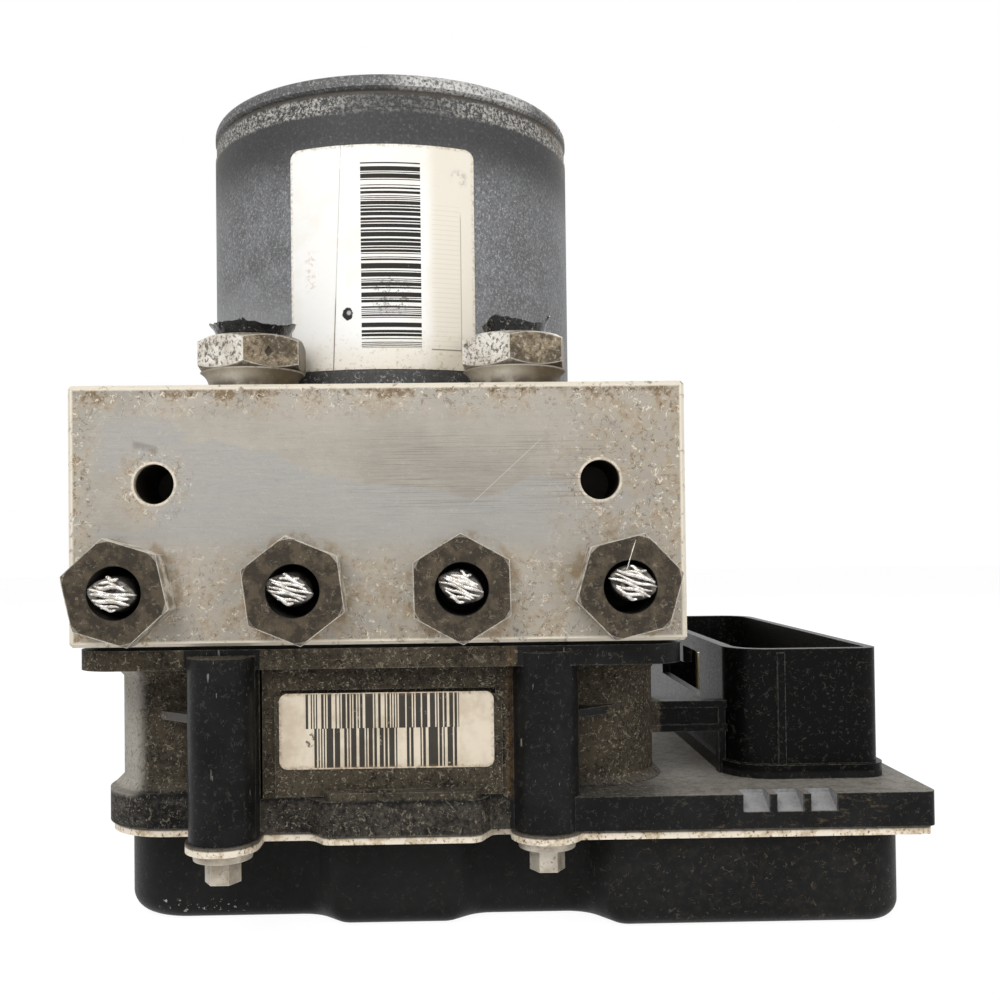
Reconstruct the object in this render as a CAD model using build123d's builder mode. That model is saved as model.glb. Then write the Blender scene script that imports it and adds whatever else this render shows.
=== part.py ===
from build123d import *
import os
from math import atan2, cos, degrees, hypot, radians, sin, tan

os.makedirs("parts", exist_ok=True)

# A brake hydraulic unit: an aluminium valve block with its pump motor on top, and the
# electronics housing with its harness socket below, between the block and a lower cover.
# Origin: on the motor axis, in the plane the lower cover stands on.
# +X runs to the right along the pipe port face, +Y away from that face, +Z up. Millimetres.

# ------------------------------------------------------------------ fits
slip_gap = 0.05  # a piece dropped into its hole or cavity
run_gap = 0.04  # radial clearance of a turning or sliding piece
press_gap = 0.02  # a piece pushed home in its hole, kept just clear
air_gap = 0.3  # between a turning piece and what it must not touch

# ------------------------------------------------------------------ block size, which the housing follows
block_width = 94.0
block_depth = 80.0
block_height = 39.8
block_front = -45.0
block_rear = block_front + block_depth

# ------------------------------------------------------------------ lower cover and cooling plate
cover_height = 14.8
cover_wall = 2.0
cover_edge_radius = 3.2
cover_left_step = 2.3  # inside the flange at either end
cover_right_step = 3.5
cover_rear_step = 3.0  # inside the plate's rear edge
lobe_fronts = [-32.5, -37.2, -33.4, -40.2]  # front of each bulge of the cover, left to right
lobe_ramps = [(-12.2, -7.6), (10.8, 15.2), (31.2, 36.2)]  # where one bulge runs into the next
lobe_radius = 4.5
cover_corner_radius = 11.0
cover_right_radius = 6.0
plate_thickness = 1.4
plate_inset = 0.6  # the plate's edge lies inside the housing's

# ------------------------------------------------------------------ electronics housing
flange_height = 5.3
deck_half_width = block_width / 2
body_half_width = deck_half_width - 2.2
body_front = block_front + 10.0
body_rear = block_rear - 1.0
body_wall = 2.2
socket_left = body_half_width + 12.0
socket_right = socket_left + 24.6
flange_left = -deck_half_width + 0.9
flange_right = socket_right + 4.3
flange_front = body_front - 2.5
flange_slope = 1.1  # the left front edge is cut back this far, at 45 degrees
wall_foot = 1.4  # bevelled foot round the housing's wall
flange_right_front = block_front + 1.5
flange_rear = block_rear + 4.0
flange_socket_rear = flange_rear + 21.0
flange_step_x = socket_left - 8.8  # the rear edge steps back here to carry the socket
flange_corner_radius = 11.0
flange_right_radius = 1.6
flange_rear_radius = 6.0
step_half_width = 1.0
step_radius = 0.8
bulge_left = -9.1
bulge_right = 15.2
bulge_front = -44.2
bulge_ramp = 2.2
bulge_radius = 2.6
bulge_foot_radius = 1.5
bulge_rise = 1.3  # the bulge stands this far above the flange
dent_x = -1.1
dent_length = 8.4
dent_width = 2.2
dent_depth = 0.6
notch_front = -39.4  # the shallow bay between the bulge and the right column
body_corner_radius = 12.0
collar_height = 2.4
collar_taper = -42.0
deck_thickness = 3.1
deck_front = block_front + 0.8
deck_rear = block_rear - 0.4
deck_corner_radius = 6.0
housing_height = 28.7
column_radius = 5.1
ear_radius = 5.6
column_drop = 1.0  # the columns stop this far below the deck's top
screw_rear = flange_rear + 2.4
screw_places = [(-24.1, -44.4), (25.4, -40.6), (-24.1, screw_rear), (25.4, screw_rear)]
panel_left = -18.6
panel_right = 20.6
panel_front = block_front + 3.9
pad_proud = 0.5
pad_height = 15.5
pad_bottom_gap = 0.3
groove_height = 0.9
groove_depth = 0.8
rib_height = 1.3
rib_reach = 6.4
rib_z = 33.2
tooth_width = 4.1
tooth_pitch = 5.25
tooth_first_x = socket_left + 0.8
tooth_depth = 4.0
tooth_height = 2.7
coil_window_gap = 0.6

# ------------------------------------------------------------------ harness socket
socket_front = -32.0
socket_rear = flange_socket_rear - 4.0
socket_height = 21.2
socket_wall = 1.7
socket_radius = 7.0
socket_sharp_radius = 3.0
skirt_height = 2.3
skirt_proud = 0.9
seam_x = socket_left + 8.1
seam_width = 1.3
seam_proud = 0.35
latch_front = -7.0
latch_step = 8.6
latch_rear = 32.0
latch_sill = 10.2
latch_shelf = 15.0
latch_top = 18.4
web_front = -27.0
web_length = 2.4
web_thickness = 1.2
web_heights = [7.0, 11.0]
board_room = 3.1
insert_height = 4.0
pin_width = 0.8
pin_length = 1.2
pin_rows = 3
pins_in_row = 14
pin_pitch_x = 5.0
pin_pitch_y = 4.0
blade_length = 6.0
blade_count = 3
pin_top = 11.0  # above the insert

# ------------------------------------------------------------------ board, coils, valves
board_thickness = 1.6
board_edge = 1.0  # clear all round
board_neck = body_rear - body_front - 14.0  # where the board runs on under the socket
valve_columns = 4
valve_rows = 2
coil_gap = 1.9  # between neighbouring coils
coil_wall_gap = 2.55  # from the end coils to the housing's wall
coil_row = 2 * (body_half_width - body_wall - coil_wall_gap) - (valve_columns - 1) * coil_gap
coil_radius = coil_row / (2 * valve_columns)
coil_case_wall = 0.9
coil_winding_depth = 2.28  # copper, measured across one side
coil_inner_radius = coil_radius - coil_case_wall - press_gap - coil_winding_depth
coil_height = 15.0
valve_pitch_x = 2 * coil_radius + coil_gap
valve_pitch_y = 36.0
valve_radius = 6.0
valve_depth = 10.0
valve_collar_radius = 7.2
valve_collar_depth = 2.0
dome_gap = 0.5  # between a valve's dome and its coil
dome_radius = coil_inner_radius - dome_gap
dome_length = 16.0
gasket_thickness = 0.6
gasket_width = 3.0
gasket_inset = 2.2
deck_screw_places = [(-23.0, 0.0), (23.0, 0.0), (0.0, -27.0), (0.0, 27.0)]
deck_screw_radius = 2.0
deck_screw_reach = 7.0
tap_end = 1.0  # a tapped hole runs this far past its screw
deck_screw_head_radius = 3.5
deck_screw_head_height = 2.8

# ------------------------------------------------------------------ valve block
block_edge = 0.5
front_port_xs = [-block_width / 2 + 8.4, -12.4, 12.6, block_width / 2 - 9.4]
front_port_z = 8.4  # above the block's underside
front_nut_turns = [42.5, 37.5, 31.0, 14.0]
top_port_places = [(-20.3, -37.0), (21.4, -37.0)]
top_nut_turns = [30.8, 22.5]
port_radius = 5.8
port_depth = 14.0
mount_hole_xs = [-block_width / 2 + 13.0, block_width / 2 - 13.1]
mount_hole_z = 24.7
mount_hole_radius = 3.05
mount_hole_depth = 14.0
passage_radius = 2.5
passage_side_places = [(-24.0, 12.0), (-24.0, 30.0), (22.0, 10.5)]  # y and height above the underside
passage_depth = 9.0
passage_plug_length = 4.0

# ------------------------------------------------------------------ nuts and cut pipes
front_nut_flats = 14.4
front_nut_height = 5.0
front_nut_cut = 0.6  # taken off the hexagon's corners
top_nut_cut = 1.5
corner_slope = 30.0  # degrees
top_nut_flats = 15.6
top_nut_height = 5.3
top_nut_neck_radius = 6.85
top_nut_flare_radius = 8.2  # the neck widens to this under the hexagon
neck_waist = 0.25  # how far it has widened part of the way up
neck_waist_height = 0.4
top_nut_neck = 2.7
nut_shank_end = 2.0  # the shank stops this far above the port's floor
nut_bore_radius = 4.0
pipe_radius = 2.9
pipe_flare_radius = 3.8
pipe_flare = 1.6
pinch_length = 4.6
pinch_out = 0.9
pinch_half_width = 3.75
pinch_half_height = 2.15
pinch_turn = -17.0
sleeve_wall = 0.9
sleeve_flare = 3.4
sleeve_flare_radius = 6.7
sleeve_depth = 9.0

# ------------------------------------------------------------------ pump motor
can_radius = 33.3
can_height = 52.9
can_wall = 2.0
can_top_radius = 1.4
can_band_drop = 5.7  # from the top down to the rolled step
can_band_step = 0.2
can_rim_height = 2.7
can_rim_groove = 0.45
lug_place = (32.0, 20.6)
lug_radius = 5.4
lug_thickness = 2.7
bearing_cup_radius = 11.0
bearing_cup_height = 3.0
shaft_radius = 4.0
magnet_thickness = 5.0
magnet_height = 32.0
magnet_arc = 140.0
armature_radius = 24.6
armature_height = 24.0
armature_slots = 12
slot_width = 2.6
slot_depth = 9.0
winding_height = 6.0
winding_inner_radius = 9.6
winding_outer_radius = 22.5
commutator_radius = 10.5
commutator_height = 8.0
brush_width = 6.0
brush_height = 7.0
brush_length = 12.0
end_plate_thickness = 3.0
ball_bearing_radius = 11.0
ball_bearing_height = 7.0
bush_radius = 8.0
bush_height = 7.0
motor_screw_radius = 2.5
motor_screw_head_radius = 3.7
motor_screw_length = 8.0
motor_screw_key = 2.0
motor_screw_key_depth = 1.4

# ------------------------------------------------------------------ pump and accumulators
pump_drop = 22.3  # pump axis below the block's top
throw = 1.1
eccentric_radius = 6.5
eccentric_ring_radius = 9.2
eccentric_height = 8.0
chamber_radius = 12.0
chamber_floor_gap = 2.0
pump_bore_radius = 6.0
pump_sleeve_length = 14.0
piston_radius = 3.25
piston_length = 17.0
pump_plug_length = 12.0
pump_plug_head_radius = 8.0
pump_plug_head = 4.0
pump_spring_radius = 2.6
spring_wire = 0.7
accumulator_side = 21.0  # from the block's side to the bore's axis
accumulator_x = block_width / 2 - accumulator_side
accumulator_drop = 19.5
accumulator_radius = 9.0
accumulator_depth = 24.0
accumulator_piston_length = 6.0
accumulator_cap_length = 3.0
accumulator_cap_radius = 11.0
accumulator_spring_radius = 6.0

# ------------------------------------------------------------------ labels
label_thickness = 0.15
motor_label_left = -27.0  # degrees round the can from its front
motor_label_right = 27.2
motor_label_bottom = 4.0  # above the block
motor_label_height = 36.9
motor_label_radius = 1.6
ecu_label_width = 33.2
ecu_label_height = 11.7
ecu_label_x = 0.7
ecu_label_z = 31.9
ecu_label_radius = 1.3

# ------------------------------------------------------------------ levels worked out from the sizes
plate_bottom = cover_height
plate_top = plate_bottom + plate_thickness
flange_top = plate_top + flange_height
deck_top = plate_top + housing_height
deck_bottom = deck_top - deck_thickness
block_bottom = deck_top + gasket_thickness
block_top = block_bottom + block_height
pump_z = block_top - pump_drop
board_top = plate_top + board_thickness
socket_floor = flange_top
insert_top = socket_floor + insert_height
accumulator_z = block_top - accumulator_drop


def outline(corners):
    """Closed line through (x, y, radius) corners, each rounded to its radius."""
    FilletPolyline(*[(x, y) for x, y, _ in corners], radius=[r for _, _, r in corners], close=True)


def place(part, label):
    """Name a finished piece and write it out."""
    part.label = label
    export_step(part, "parts/" + label + ".step")


# ================================================================== lower cover
cover_left = flange_left + cover_left_step
cover_right = flange_right - cover_right_step
cover_rear = flange_rear - cover_rear_step
cover_socket_rear = flange_socket_rear - cover_rear_step
cover_corners = [
    (cover_left, lobe_fronts[0], cover_corner_radius),
    (lobe_ramps[0][0], lobe_fronts[0], lobe_radius),
    (lobe_ramps[0][1], lobe_fronts[1], lobe_radius),
    (lobe_ramps[1][0], lobe_fronts[1], lobe_radius),
    (lobe_ramps[1][1], lobe_fronts[2], lobe_radius),
    (lobe_ramps[2][0], lobe_fronts[2], lobe_radius),
    (lobe_ramps[2][1], lobe_fronts[3], lobe_radius),
    (cover_right, lobe_fronts[3], cover_right_radius),
    (cover_right, cover_socket_rear, cover_right_radius),
    (flange_step_x + cover_rear_step, cover_socket_rear, cover_right_radius),
    (flange_step_x + cover_rear_step, cover_rear, cover_right_radius),
    (cover_left, cover_rear, cover_corner_radius),
]
with BuildPart() as lower_cover:
    with BuildSketch():
        with BuildLine():
            outline(cover_corners)
        make_face()
    extrude(amount=cover_height)
    fillet(lower_cover.edges().group_by(Axis.Z)[0], cover_edge_radius)
    offset(amount=-cover_wall, openings=lower_cover.faces().sort_by(Axis.Z)[-1])
place(lower_cover.part, "lower_cover")

# ================================================================== housing outline
left_column_x = screw_places[0][0]
right_column_x, right_column_y = screw_places[1]
# the front steps back and forth inside the two columns
flange_corners = [
    (flange_left, flange_rear, flange_corner_radius),
    (flange_left, flange_front, flange_corner_radius),
    (left_column_x - step_half_width, flange_front, step_radius),
    (left_column_x + step_half_width, panel_front, step_radius),
    (bulge_left - bulge_ramp, panel_front, bulge_foot_radius),
    (bulge_left, bulge_front, bulge_radius),
    (bulge_right, bulge_front, bulge_radius),
    (bulge_right + bulge_ramp, notch_front, step_radius),
    (right_column_x - step_half_width, notch_front, step_radius),
    (right_column_x + step_half_width, flange_right_front, step_radius),
    (flange_right, flange_right_front, flange_right_radius),
    (flange_right, flange_socket_rear, flange_rear_radius),
    (flange_step_x, flange_socket_rear, flange_rear_radius),
    (flange_step_x, flange_rear, flange_rear_radius),
]
with BuildSketch() as flange_plan:
    with BuildLine():
        outline(flange_corners)
    make_face()

# ================================================================== cooling plate
screw_radius = 1.9
screw_hole_gap = 0.3
with BuildPart() as base_plate:
    with BuildSketch(Plane.XY.offset(plate_bottom)):
        add(flange_plan.sketch)
        offset(amount=-plate_inset, mode=Mode.REPLACE)
        # an ear round each screw
        for x, y in screw_places:
            toward_wall = body_front if y < 0 else body_rear
            with Locations((x, y)):
                Circle(ear_radius)
            with Locations((x, (y + toward_wall) / 2)):
                Rectangle(2 * ear_radius, abs(y - toward_wall))
    extrude(amount=plate_thickness)
    with Locations(*[(x, y, plate_top) for x, y in screw_places]):
        Hole(radius=screw_radius + screw_hole_gap)
place(base_plate.part, "base_plate")


def body_plan(inset):
    """The housing's wall outline, drawn in by an inset."""
    left = -body_half_width + inset
    right = body_half_width - inset
    near = body_front + inset
    far = body_rear - inset
    radius = body_corner_radius - inset
    outline([(left, near, radius), (right, near, radius), (right, far, radius), (left, far, radius)])


def socket_plan(grow):
    """The socket's outline, grown outwards by grow."""
    left = socket_left - grow
    right = socket_right + grow
    near = socket_front - grow
    far = socket_rear + grow
    round_side = socket_radius + grow
    sharp_side = socket_sharp_radius + grow
    outline([
        (left, near, round_side), (right, near, sharp_side),
        (right, far, round_side), (left, far, round_side),
    ])


valve_grid = GridLocations(valve_pitch_x, valve_pitch_y, valve_columns, valve_rows)
valve_places = [(spot.position.X, spot.position.Y) for spot in valve_grid]
pin_centre_x = (socket_left + socket_right) / 2
pin_field_front = socket_front + 8.0
blade_first_y = pin_field_front + pin_pitch_y * pins_in_row + blade_length / 2
blade_pitch = blade_length + 1.4

# ================================================================== electronics housing
with BuildPart() as ecu_housing:
    # mounting flange with its bulge, column feet and the ledge that carries the socket
    with BuildSketch(Plane.XY.offset(plate_top)):
        add(flange_plan.sketch)
    extrude(amount=flange_height)
    # the left front edge slopes up toward the wall
    with BuildSketch(Plane.YZ.offset(flange_left)):
        with BuildLine():
            Polyline(
                (flange_front, flange_top - flange_slope), (flange_front + flange_slope, flange_top),
                (flange_front, flange_top), close=True,
            )
        make_face()
    extrude(amount=left_column_x - flange_left, mode=Mode.SUBTRACT)
    # raised bulge in front of the label panel, with a shallow dent in its top
    with BuildSketch(Plane.XY.offset(flange_top)):
        with BuildLine():
            outline([
                (bulge_left, bulge_front, bulge_radius), (bulge_right, bulge_front, bulge_radius),
                (bulge_right, panel_front + 2 * step_radius, step_radius),
                (bulge_left, panel_front + 2 * step_radius, step_radius),
            ])
        make_face()
    extrude(amount=bulge_rise)
    with BuildSketch(Plane.XY.offset(flange_top + bulge_rise)):
        with Locations((dent_x, (bulge_front + panel_front - pad_proud) / 2)):
            Ellipse(dent_length / 2, dent_width / 2)
    extrude(amount=-dent_depth, mode=Mode.SUBTRACT)
    # bevelled foot of the wall
    with BuildSketch(Plane.XY.offset(flange_top)):
        with BuildLine():
            body_plan(-wall_foot)
        make_face()
    extrude(amount=wall_foot, taper=45)
    # hollow body
    with BuildSketch(Plane.XY.offset(flange_top - 0.6)):
        with BuildLine():
            body_plan(0)
        make_face()
    extrude(amount=deck_bottom - flange_top + 0.6)
    # flared collar under the deck
    with BuildSketch(Plane.XY.offset(deck_bottom - collar_height)):
        with BuildLine():
            body_plan(0)
        make_face()
    extrude(amount=collar_height, taper=collar_taper)
    # deck that the block stands on
    with BuildSketch(Plane.XY.offset(deck_bottom)):
        with Locations((0, (deck_front + deck_rear) / 2)):
            RectangleRounded(2 * deck_half_width, deck_rear - deck_front, deck_corner_radius)
    extrude(amount=deck_thickness)
    # label panel across the front
    with Locations(((panel_left + panel_right) / 2, panel_front, plate_top)):
        Box(panel_right - panel_left, body_front - panel_front + body_wall, housing_height - 0.2,
            align=(Align.CENTER, Align.MIN, Align.MIN))
    with Locations(((panel_left + panel_right) / 2, panel_front - pad_proud, flange_top + pad_bottom_gap)):
        Box(panel_right - panel_left - 4.0, pad_proud + 1.0, pad_height,
            align=(Align.CENTER, Align.MIN, Align.MIN))
    with Locations(((panel_left + panel_right) / 2, panel_front, flange_top + pad_bottom_gap + pad_height)):
        Box(panel_right - panel_left - 6.0, 2 * groove_depth, groove_height, mode=Mode.SUBTRACT,
            align=(Align.CENTER, Align.CENTER, Align.MIN))
    # screw columns, each standing on its own web to the wall
    for x, y in screw_places:
        toward_wall = body_front if y < 0 else body_rear
        with BuildSketch(Plane.XY.offset(plate_top)):
            with Locations((x, y)):
                Circle(column_radius)
            with Locations((x, (y + toward_wall) / 2)):
                Rectangle(2 * column_radius, abs(y - toward_wall) + 1.0)
        extrude(amount=housing_height - column_drop)
    # cross ribs beside the front columns
    for x, side in ((left_column_x, -1), (right_column_x, 1)):
        with BuildSketch(Plane.XY.offset(rib_z)):
            with BuildLine():
                Polyline(
                    (x + side * (column_radius - 1.0), right_column_y - 1.0),
                    (x + side * (column_radius + rib_reach), body_front - 0.6),
                    (x + side * (column_radius + rib_reach), body_front + 1.0),
                    (x + side * (column_radius - 1.0), body_front + 1.0),
                    close=True,
                )
            make_face()
        extrude(amount=rib_height)
    # harness socket: skirt and shell
    with BuildSketch(Plane.XY.offset(flange_top - 0.5)):
        with BuildLine():
            socket_plan(skirt_proud)
        make_face()
    extrude(amount=skirt_height + 0.5)
    with BuildSketch(Plane.XY.offset(flange_top)):
        with BuildLine():
            socket_plan(0)
        make_face()
    extrude(amount=socket_height)
    with Locations((seam_x, socket_front, flange_top)):
        Box(seam_width, 2 * seam_proud, socket_height - 0.6, align=(Align.CENTER, Align.CENTER, Align.MIN))
    # webs that tie the socket to the body
    for height in web_heights:
        with Locations(((body_half_width + socket_left) / 2, web_front, flange_top + height)):
            Box(socket_left - body_half_width + 3.0, web_length, web_thickness,
                align=(Align.CENTER, Align.MIN, Align.MIN))
    web_centre = ((body_half_width + socket_left) / 2, web_front + web_length / 2)
    with Locations((*web_centre, flange_top + web_heights[0])):
        Box(socket_left - body_half_width + 3.0, web_thickness, web_heights[1] - web_heights[0],
            align=(Align.CENTER, Align.CENTER, Align.MIN))
    with Locations((socket_left, web_front, flange_top)):
        Box(web_thickness, web_length, web_heights[1] + web_thickness,
            align=(Align.MAX, Align.MIN, Align.MIN))
    # room inside the body, open below, and the shallow room that the board runs through
    with BuildSketch(Plane.XY.offset(plate_top)):
        with BuildLine():
            body_plan(body_wall)
        make_face()
    extrude(amount=deck_bottom - plate_top, mode=Mode.SUBTRACT)
    with BuildSketch(Plane.XY.offset(plate_top)):
        with BuildLine():
            socket_plan(-socket_wall)
        make_face()
        with Locations(((body_half_width + socket_left) / 2, 0)):
            Rectangle(socket_left - body_half_width + 4 * body_wall, board_neck)
    extrude(amount=board_room, mode=Mode.SUBTRACT)
    # inside of the socket and the slot that its pins rise through
    with BuildSketch(Plane.XY.offset(socket_floor)):
        with BuildLine():
            socket_plan(-socket_wall)
        make_face()
    extrude(amount=socket_height, mode=Mode.SUBTRACT)
    with BuildSketch(Plane.XY.offset(plate_top)):
        with Locations((pin_centre_x, (socket_front + socket_rear) / 2)):
            Rectangle(pin_pitch_x * pin_rows + 1.0, socket_rear - socket_front - 6.0)
    extrude(amount=flange_height, mode=Mode.SUBTRACT)
    # latch window in the socket's left wall
    latch_middle_x = socket_left + socket_wall / 2
    with Locations((latch_middle_x, (latch_front + latch_rear) / 2, flange_top + latch_sill)):
        Box(3 * socket_wall, latch_rear - latch_front, latch_shelf - latch_sill, mode=Mode.SUBTRACT,
            align=(Align.CENTER, Align.CENTER, Align.MIN))
    with Locations((latch_middle_x, (latch_front + latch_step) / 2, flange_top + latch_sill)):
        Box(3 * socket_wall, latch_step - latch_front, latch_top - latch_sill, mode=Mode.SUBTRACT,
            align=(Align.CENTER, Align.CENTER, Align.MIN))
    # three finger notches in the flange's front edge
    for i in range(3):
        with BuildSketch(Plane.YZ.offset(tooth_first_x + i * tooth_pitch)):
            with BuildLine():
                Polyline(
                    (flange_right_front - 1.0, flange_top + 1.0),
                    (flange_right_front - 1.0, flange_top - tooth_height),
                    (flange_right_front + 0.4, flange_top - tooth_height),
                    (flange_right_front + tooth_depth, flange_top - 0.6),
                    (flange_right_front + tooth_depth, flange_top + 1.0),
                    close=True,
                )
            make_face()
        extrude(amount=tooth_width / 2, both=True, mode=Mode.SUBTRACT)
    # valve windows and screw holes in the deck, pilot holes in the columns
    with Locations(*[(x, y, deck_top) for x, y in valve_places]):
        Hole(radius=valve_collar_radius + coil_window_gap, depth=deck_thickness + 1.0)
    with Locations(*[(x, y, deck_top) for x, y in deck_screw_places]):
        Hole(radius=deck_screw_radius + screw_hole_gap, depth=deck_thickness + 1.0)
    with BuildSketch(Plane.XY.offset(plate_top)):
        with Locations(*screw_places):
            Circle(screw_radius + press_gap)
    extrude(amount=14.0, mode=Mode.SUBTRACT)
place(ecu_housing.part, "ecu_housing")

# ================================================================== pin carrier, pins, board
pin_grid_x = [pin_centre_x + (i - (pin_rows - 1) / 2) * pin_pitch_x for i in range(pin_rows)]
pin_spots = [(x, pin_field_front + j * pin_pitch_y) for x in pin_grid_x for j in range(pins_in_row)]
blade_spots = [(pin_centre_x, blade_first_y + k * blade_pitch) for k in range(blade_count)]
with BuildSketch() as pin_sections:
    with Locations(*pin_spots):
        Rectangle(pin_width, pin_length)
    with Locations(*blade_spots):
        Rectangle(pin_length, blade_length)

with BuildPart() as pin_carrier:
    with BuildSketch(Plane.XY.offset(socket_floor)):
        with BuildLine():
            socket_plan(-socket_wall - slip_gap)
        make_face()
    extrude(amount=insert_height)
    with BuildSketch(Plane.XY.offset(socket_floor)):
        add(pin_sections.sketch)
    extrude(amount=insert_height, mode=Mode.SUBTRACT)
place(pin_carrier.part, "pin_carrier")

with BuildPart() as connector_pins:
    with BuildSketch(Plane.XY.offset(board_top)):
        add(pin_sections.sketch)
    extrude(amount=insert_top + pin_top - board_top)
place(connector_pins.part, "connector_pins")

with BuildPart() as circuit_board:
    with BuildSketch(Plane.XY.offset(plate_top)):
        with BuildLine():
            body_plan(body_wall + board_edge)
        make_face()
        with BuildLine():
            socket_plan(-socket_wall - board_edge)
        make_face()
        with Locations(((body_half_width + socket_left) / 2, 0)):
            Rectangle(socket_left - body_half_width + 4 * body_wall, board_neck - 2 * board_edge)
    extrude(amount=board_thickness)
place(circuit_board.part, "circuit_board")

chip_height = 1.2
chip_sizes = [(14.0, 14.0, 0.0, 0.0), (8.0, 10.0, 22.0, 2.0), (6.0, 9.0, -24.0, 1.0), (9.0, 6.0, 50.0, -8.0)]
with BuildPart() as board_chips:
    for wide, deep, x, y in chip_sizes:
        with Locations((x, y, board_top)):
            Box(wide, deep, chip_height, align=(Align.CENTER, Align.CENTER, Align.MIN))
place(board_chips.part, "board_chips")

# ================================================================== valve block
front_ports = [(x, block_front, block_bottom + front_port_z) for x in front_port_xs]
top_ports = [(x, y, block_top) for x, y in top_port_places]
mount_holes = [(x, block_front, block_bottom + mount_hole_z) for x in mount_hole_xs]
lug_places = [(sx * lug_place[0], sy * lug_place[1]) for sx in (-1, 1) for sy in (-1, 1)]
seat_depth = ball_bearing_height
chamber_depth = pump_drop + eccentric_height / 2 + chamber_floor_gap
sleeve_start = chamber_radius + 1.0
into_front = Plane(origin=(0, block_front, 0), x_dir=(1, 0, 0), z_dir=(0, -1, 0))
into_rear = Plane(origin=(0, block_rear, 0), x_dir=(-1, 0, 0), z_dir=(0, 1, 0))
into_left = Plane(origin=(-block_width / 2, 0, 0), x_dir=(0, -1, 0), z_dir=(-1, 0, 0))
into_right = Plane(origin=(block_width / 2, 0, 0), x_dir=(0, 1, 0), z_dir=(1, 0, 0))
under_block = Plane(origin=(0, 0, block_bottom), x_dir=(1, 0, 0), z_dir=(0, 0, -1))
over_block = Plane.XY.offset(block_top)


def drill(plane, spots, radius, depth):
    """Cut round holes of one radius and depth, straight in from a face."""
    with BuildSketch(plane) as holes:
        with Locations(*spots):
            Circle(radius)
    extrude(holes.sketch, amount=-depth, mode=Mode.SUBTRACT)


with BuildPart() as hydraulic_block:
    with Locations((0, block_front, block_bottom)):
        Box(block_width, block_depth, block_height, align=(Align.CENTER, Align.MIN, Align.MIN))
    chamfer(hydraulic_block.edges(), block_edge)
    # pipe ports
    drill(into_front, [(x, z) for x, _, z in front_ports], port_radius, port_depth)
    drill(over_block, top_port_places, port_radius, port_depth)
    # mounting holes with a lead-in
    drill(into_front, [(x, z) for x, _, z in mount_holes], mount_hole_radius, mount_hole_depth)
    # motor bearing seat and eccentric chamber
    drill(over_block, [(0, 0)], ball_bearing_radius + press_gap, seat_depth)
    drill(over_block, [(0, 0)], chamber_radius - 2.0, chamber_depth)
    # pump bores from both sides, with a wider mouth for the plug's head
    for plane in (into_left, into_right):
        drill(plane, [(0, pump_z)], pump_bore_radius, block_width / 2 - sleeve_start + 4.0)
        drill(plane, [(0, pump_z)], pump_plug_head_radius, pump_plug_head)
    # room round the eccentric ring
    with Locations((0, 0, pump_z)):
        Cylinder(chamber_radius, eccentric_height + 2 * chamber_floor_gap, mode=Mode.SUBTRACT)
    # accumulators from the rear
    rear_spots = [(x, accumulator_z) for x in (-accumulator_x, accumulator_x)]
    drill(into_rear, rear_spots, accumulator_radius, accumulator_depth)
    drill(into_rear, rear_spots, accumulator_cap_radius, accumulator_cap_length)
    # valves from below, with a shallow seat for the staked collar
    drill(under_block, [(x, -y) for x, y in valve_places], valve_radius, valve_depth)
    drill(under_block, [(x, -y) for x, y in valve_places], valve_collar_radius, valve_collar_depth)
    # tapped holes for the motor and for the housing
    drill(over_block, lug_places, motor_screw_radius + press_gap, motor_screw_length)
    deck_spots = [(x, -y) for x, y in deck_screw_places]
    drill(under_block, deck_spots, deck_screw_radius + press_gap, deck_screw_reach + tap_end)
    # cross drillings closed by pressed plugs
    for plane, turn in ((into_left, -1), (into_right, 1)):
        passage_spots = [(turn * y, block_bottom + z) for y, z in passage_side_places]
        drill(plane, passage_spots, passage_radius, passage_depth)
place(hydraulic_block.part, "hydraulic_block")

with BuildPart() as passage_plugs:
    for plane, turn in ((into_left, -1), (into_right, 1)):
        with BuildSketch(plane.offset(-0.4)):
            with Locations(*[(turn * y, block_bottom + z) for y, z in passage_side_places]):
                Circle(passage_radius - press_gap)
        extrude(amount=-passage_plug_length)
    chamfer(passage_plugs.edges().filter_by(GeomType.CIRCLE), 0.5)
place(passage_plugs.part, "passage_plugs")

# ================================================================== pipe nuts and pipes


def port_plane(place_point, out, turn):
    """Plane on a port's mouth, z pointing out of the block, turned about the port's axis."""
    mouth = Plane(origin=place_point, x_dir=(1, 0, 0), z_dir=out)
    across = mouth.x_dir * cos(radians(turn)) + mouth.y_dir * sin(radians(turn))
    return Plane(origin=place_point, x_dir=across, z_dir=out)


front_planes = [port_plane(spot, (0, -1, 0), turn) for spot, turn in zip(front_ports, front_nut_turns)]
top_planes = [port_plane(spot, (0, 0, 1), turn) for spot, turn in zip(top_ports, top_nut_turns)]


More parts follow.
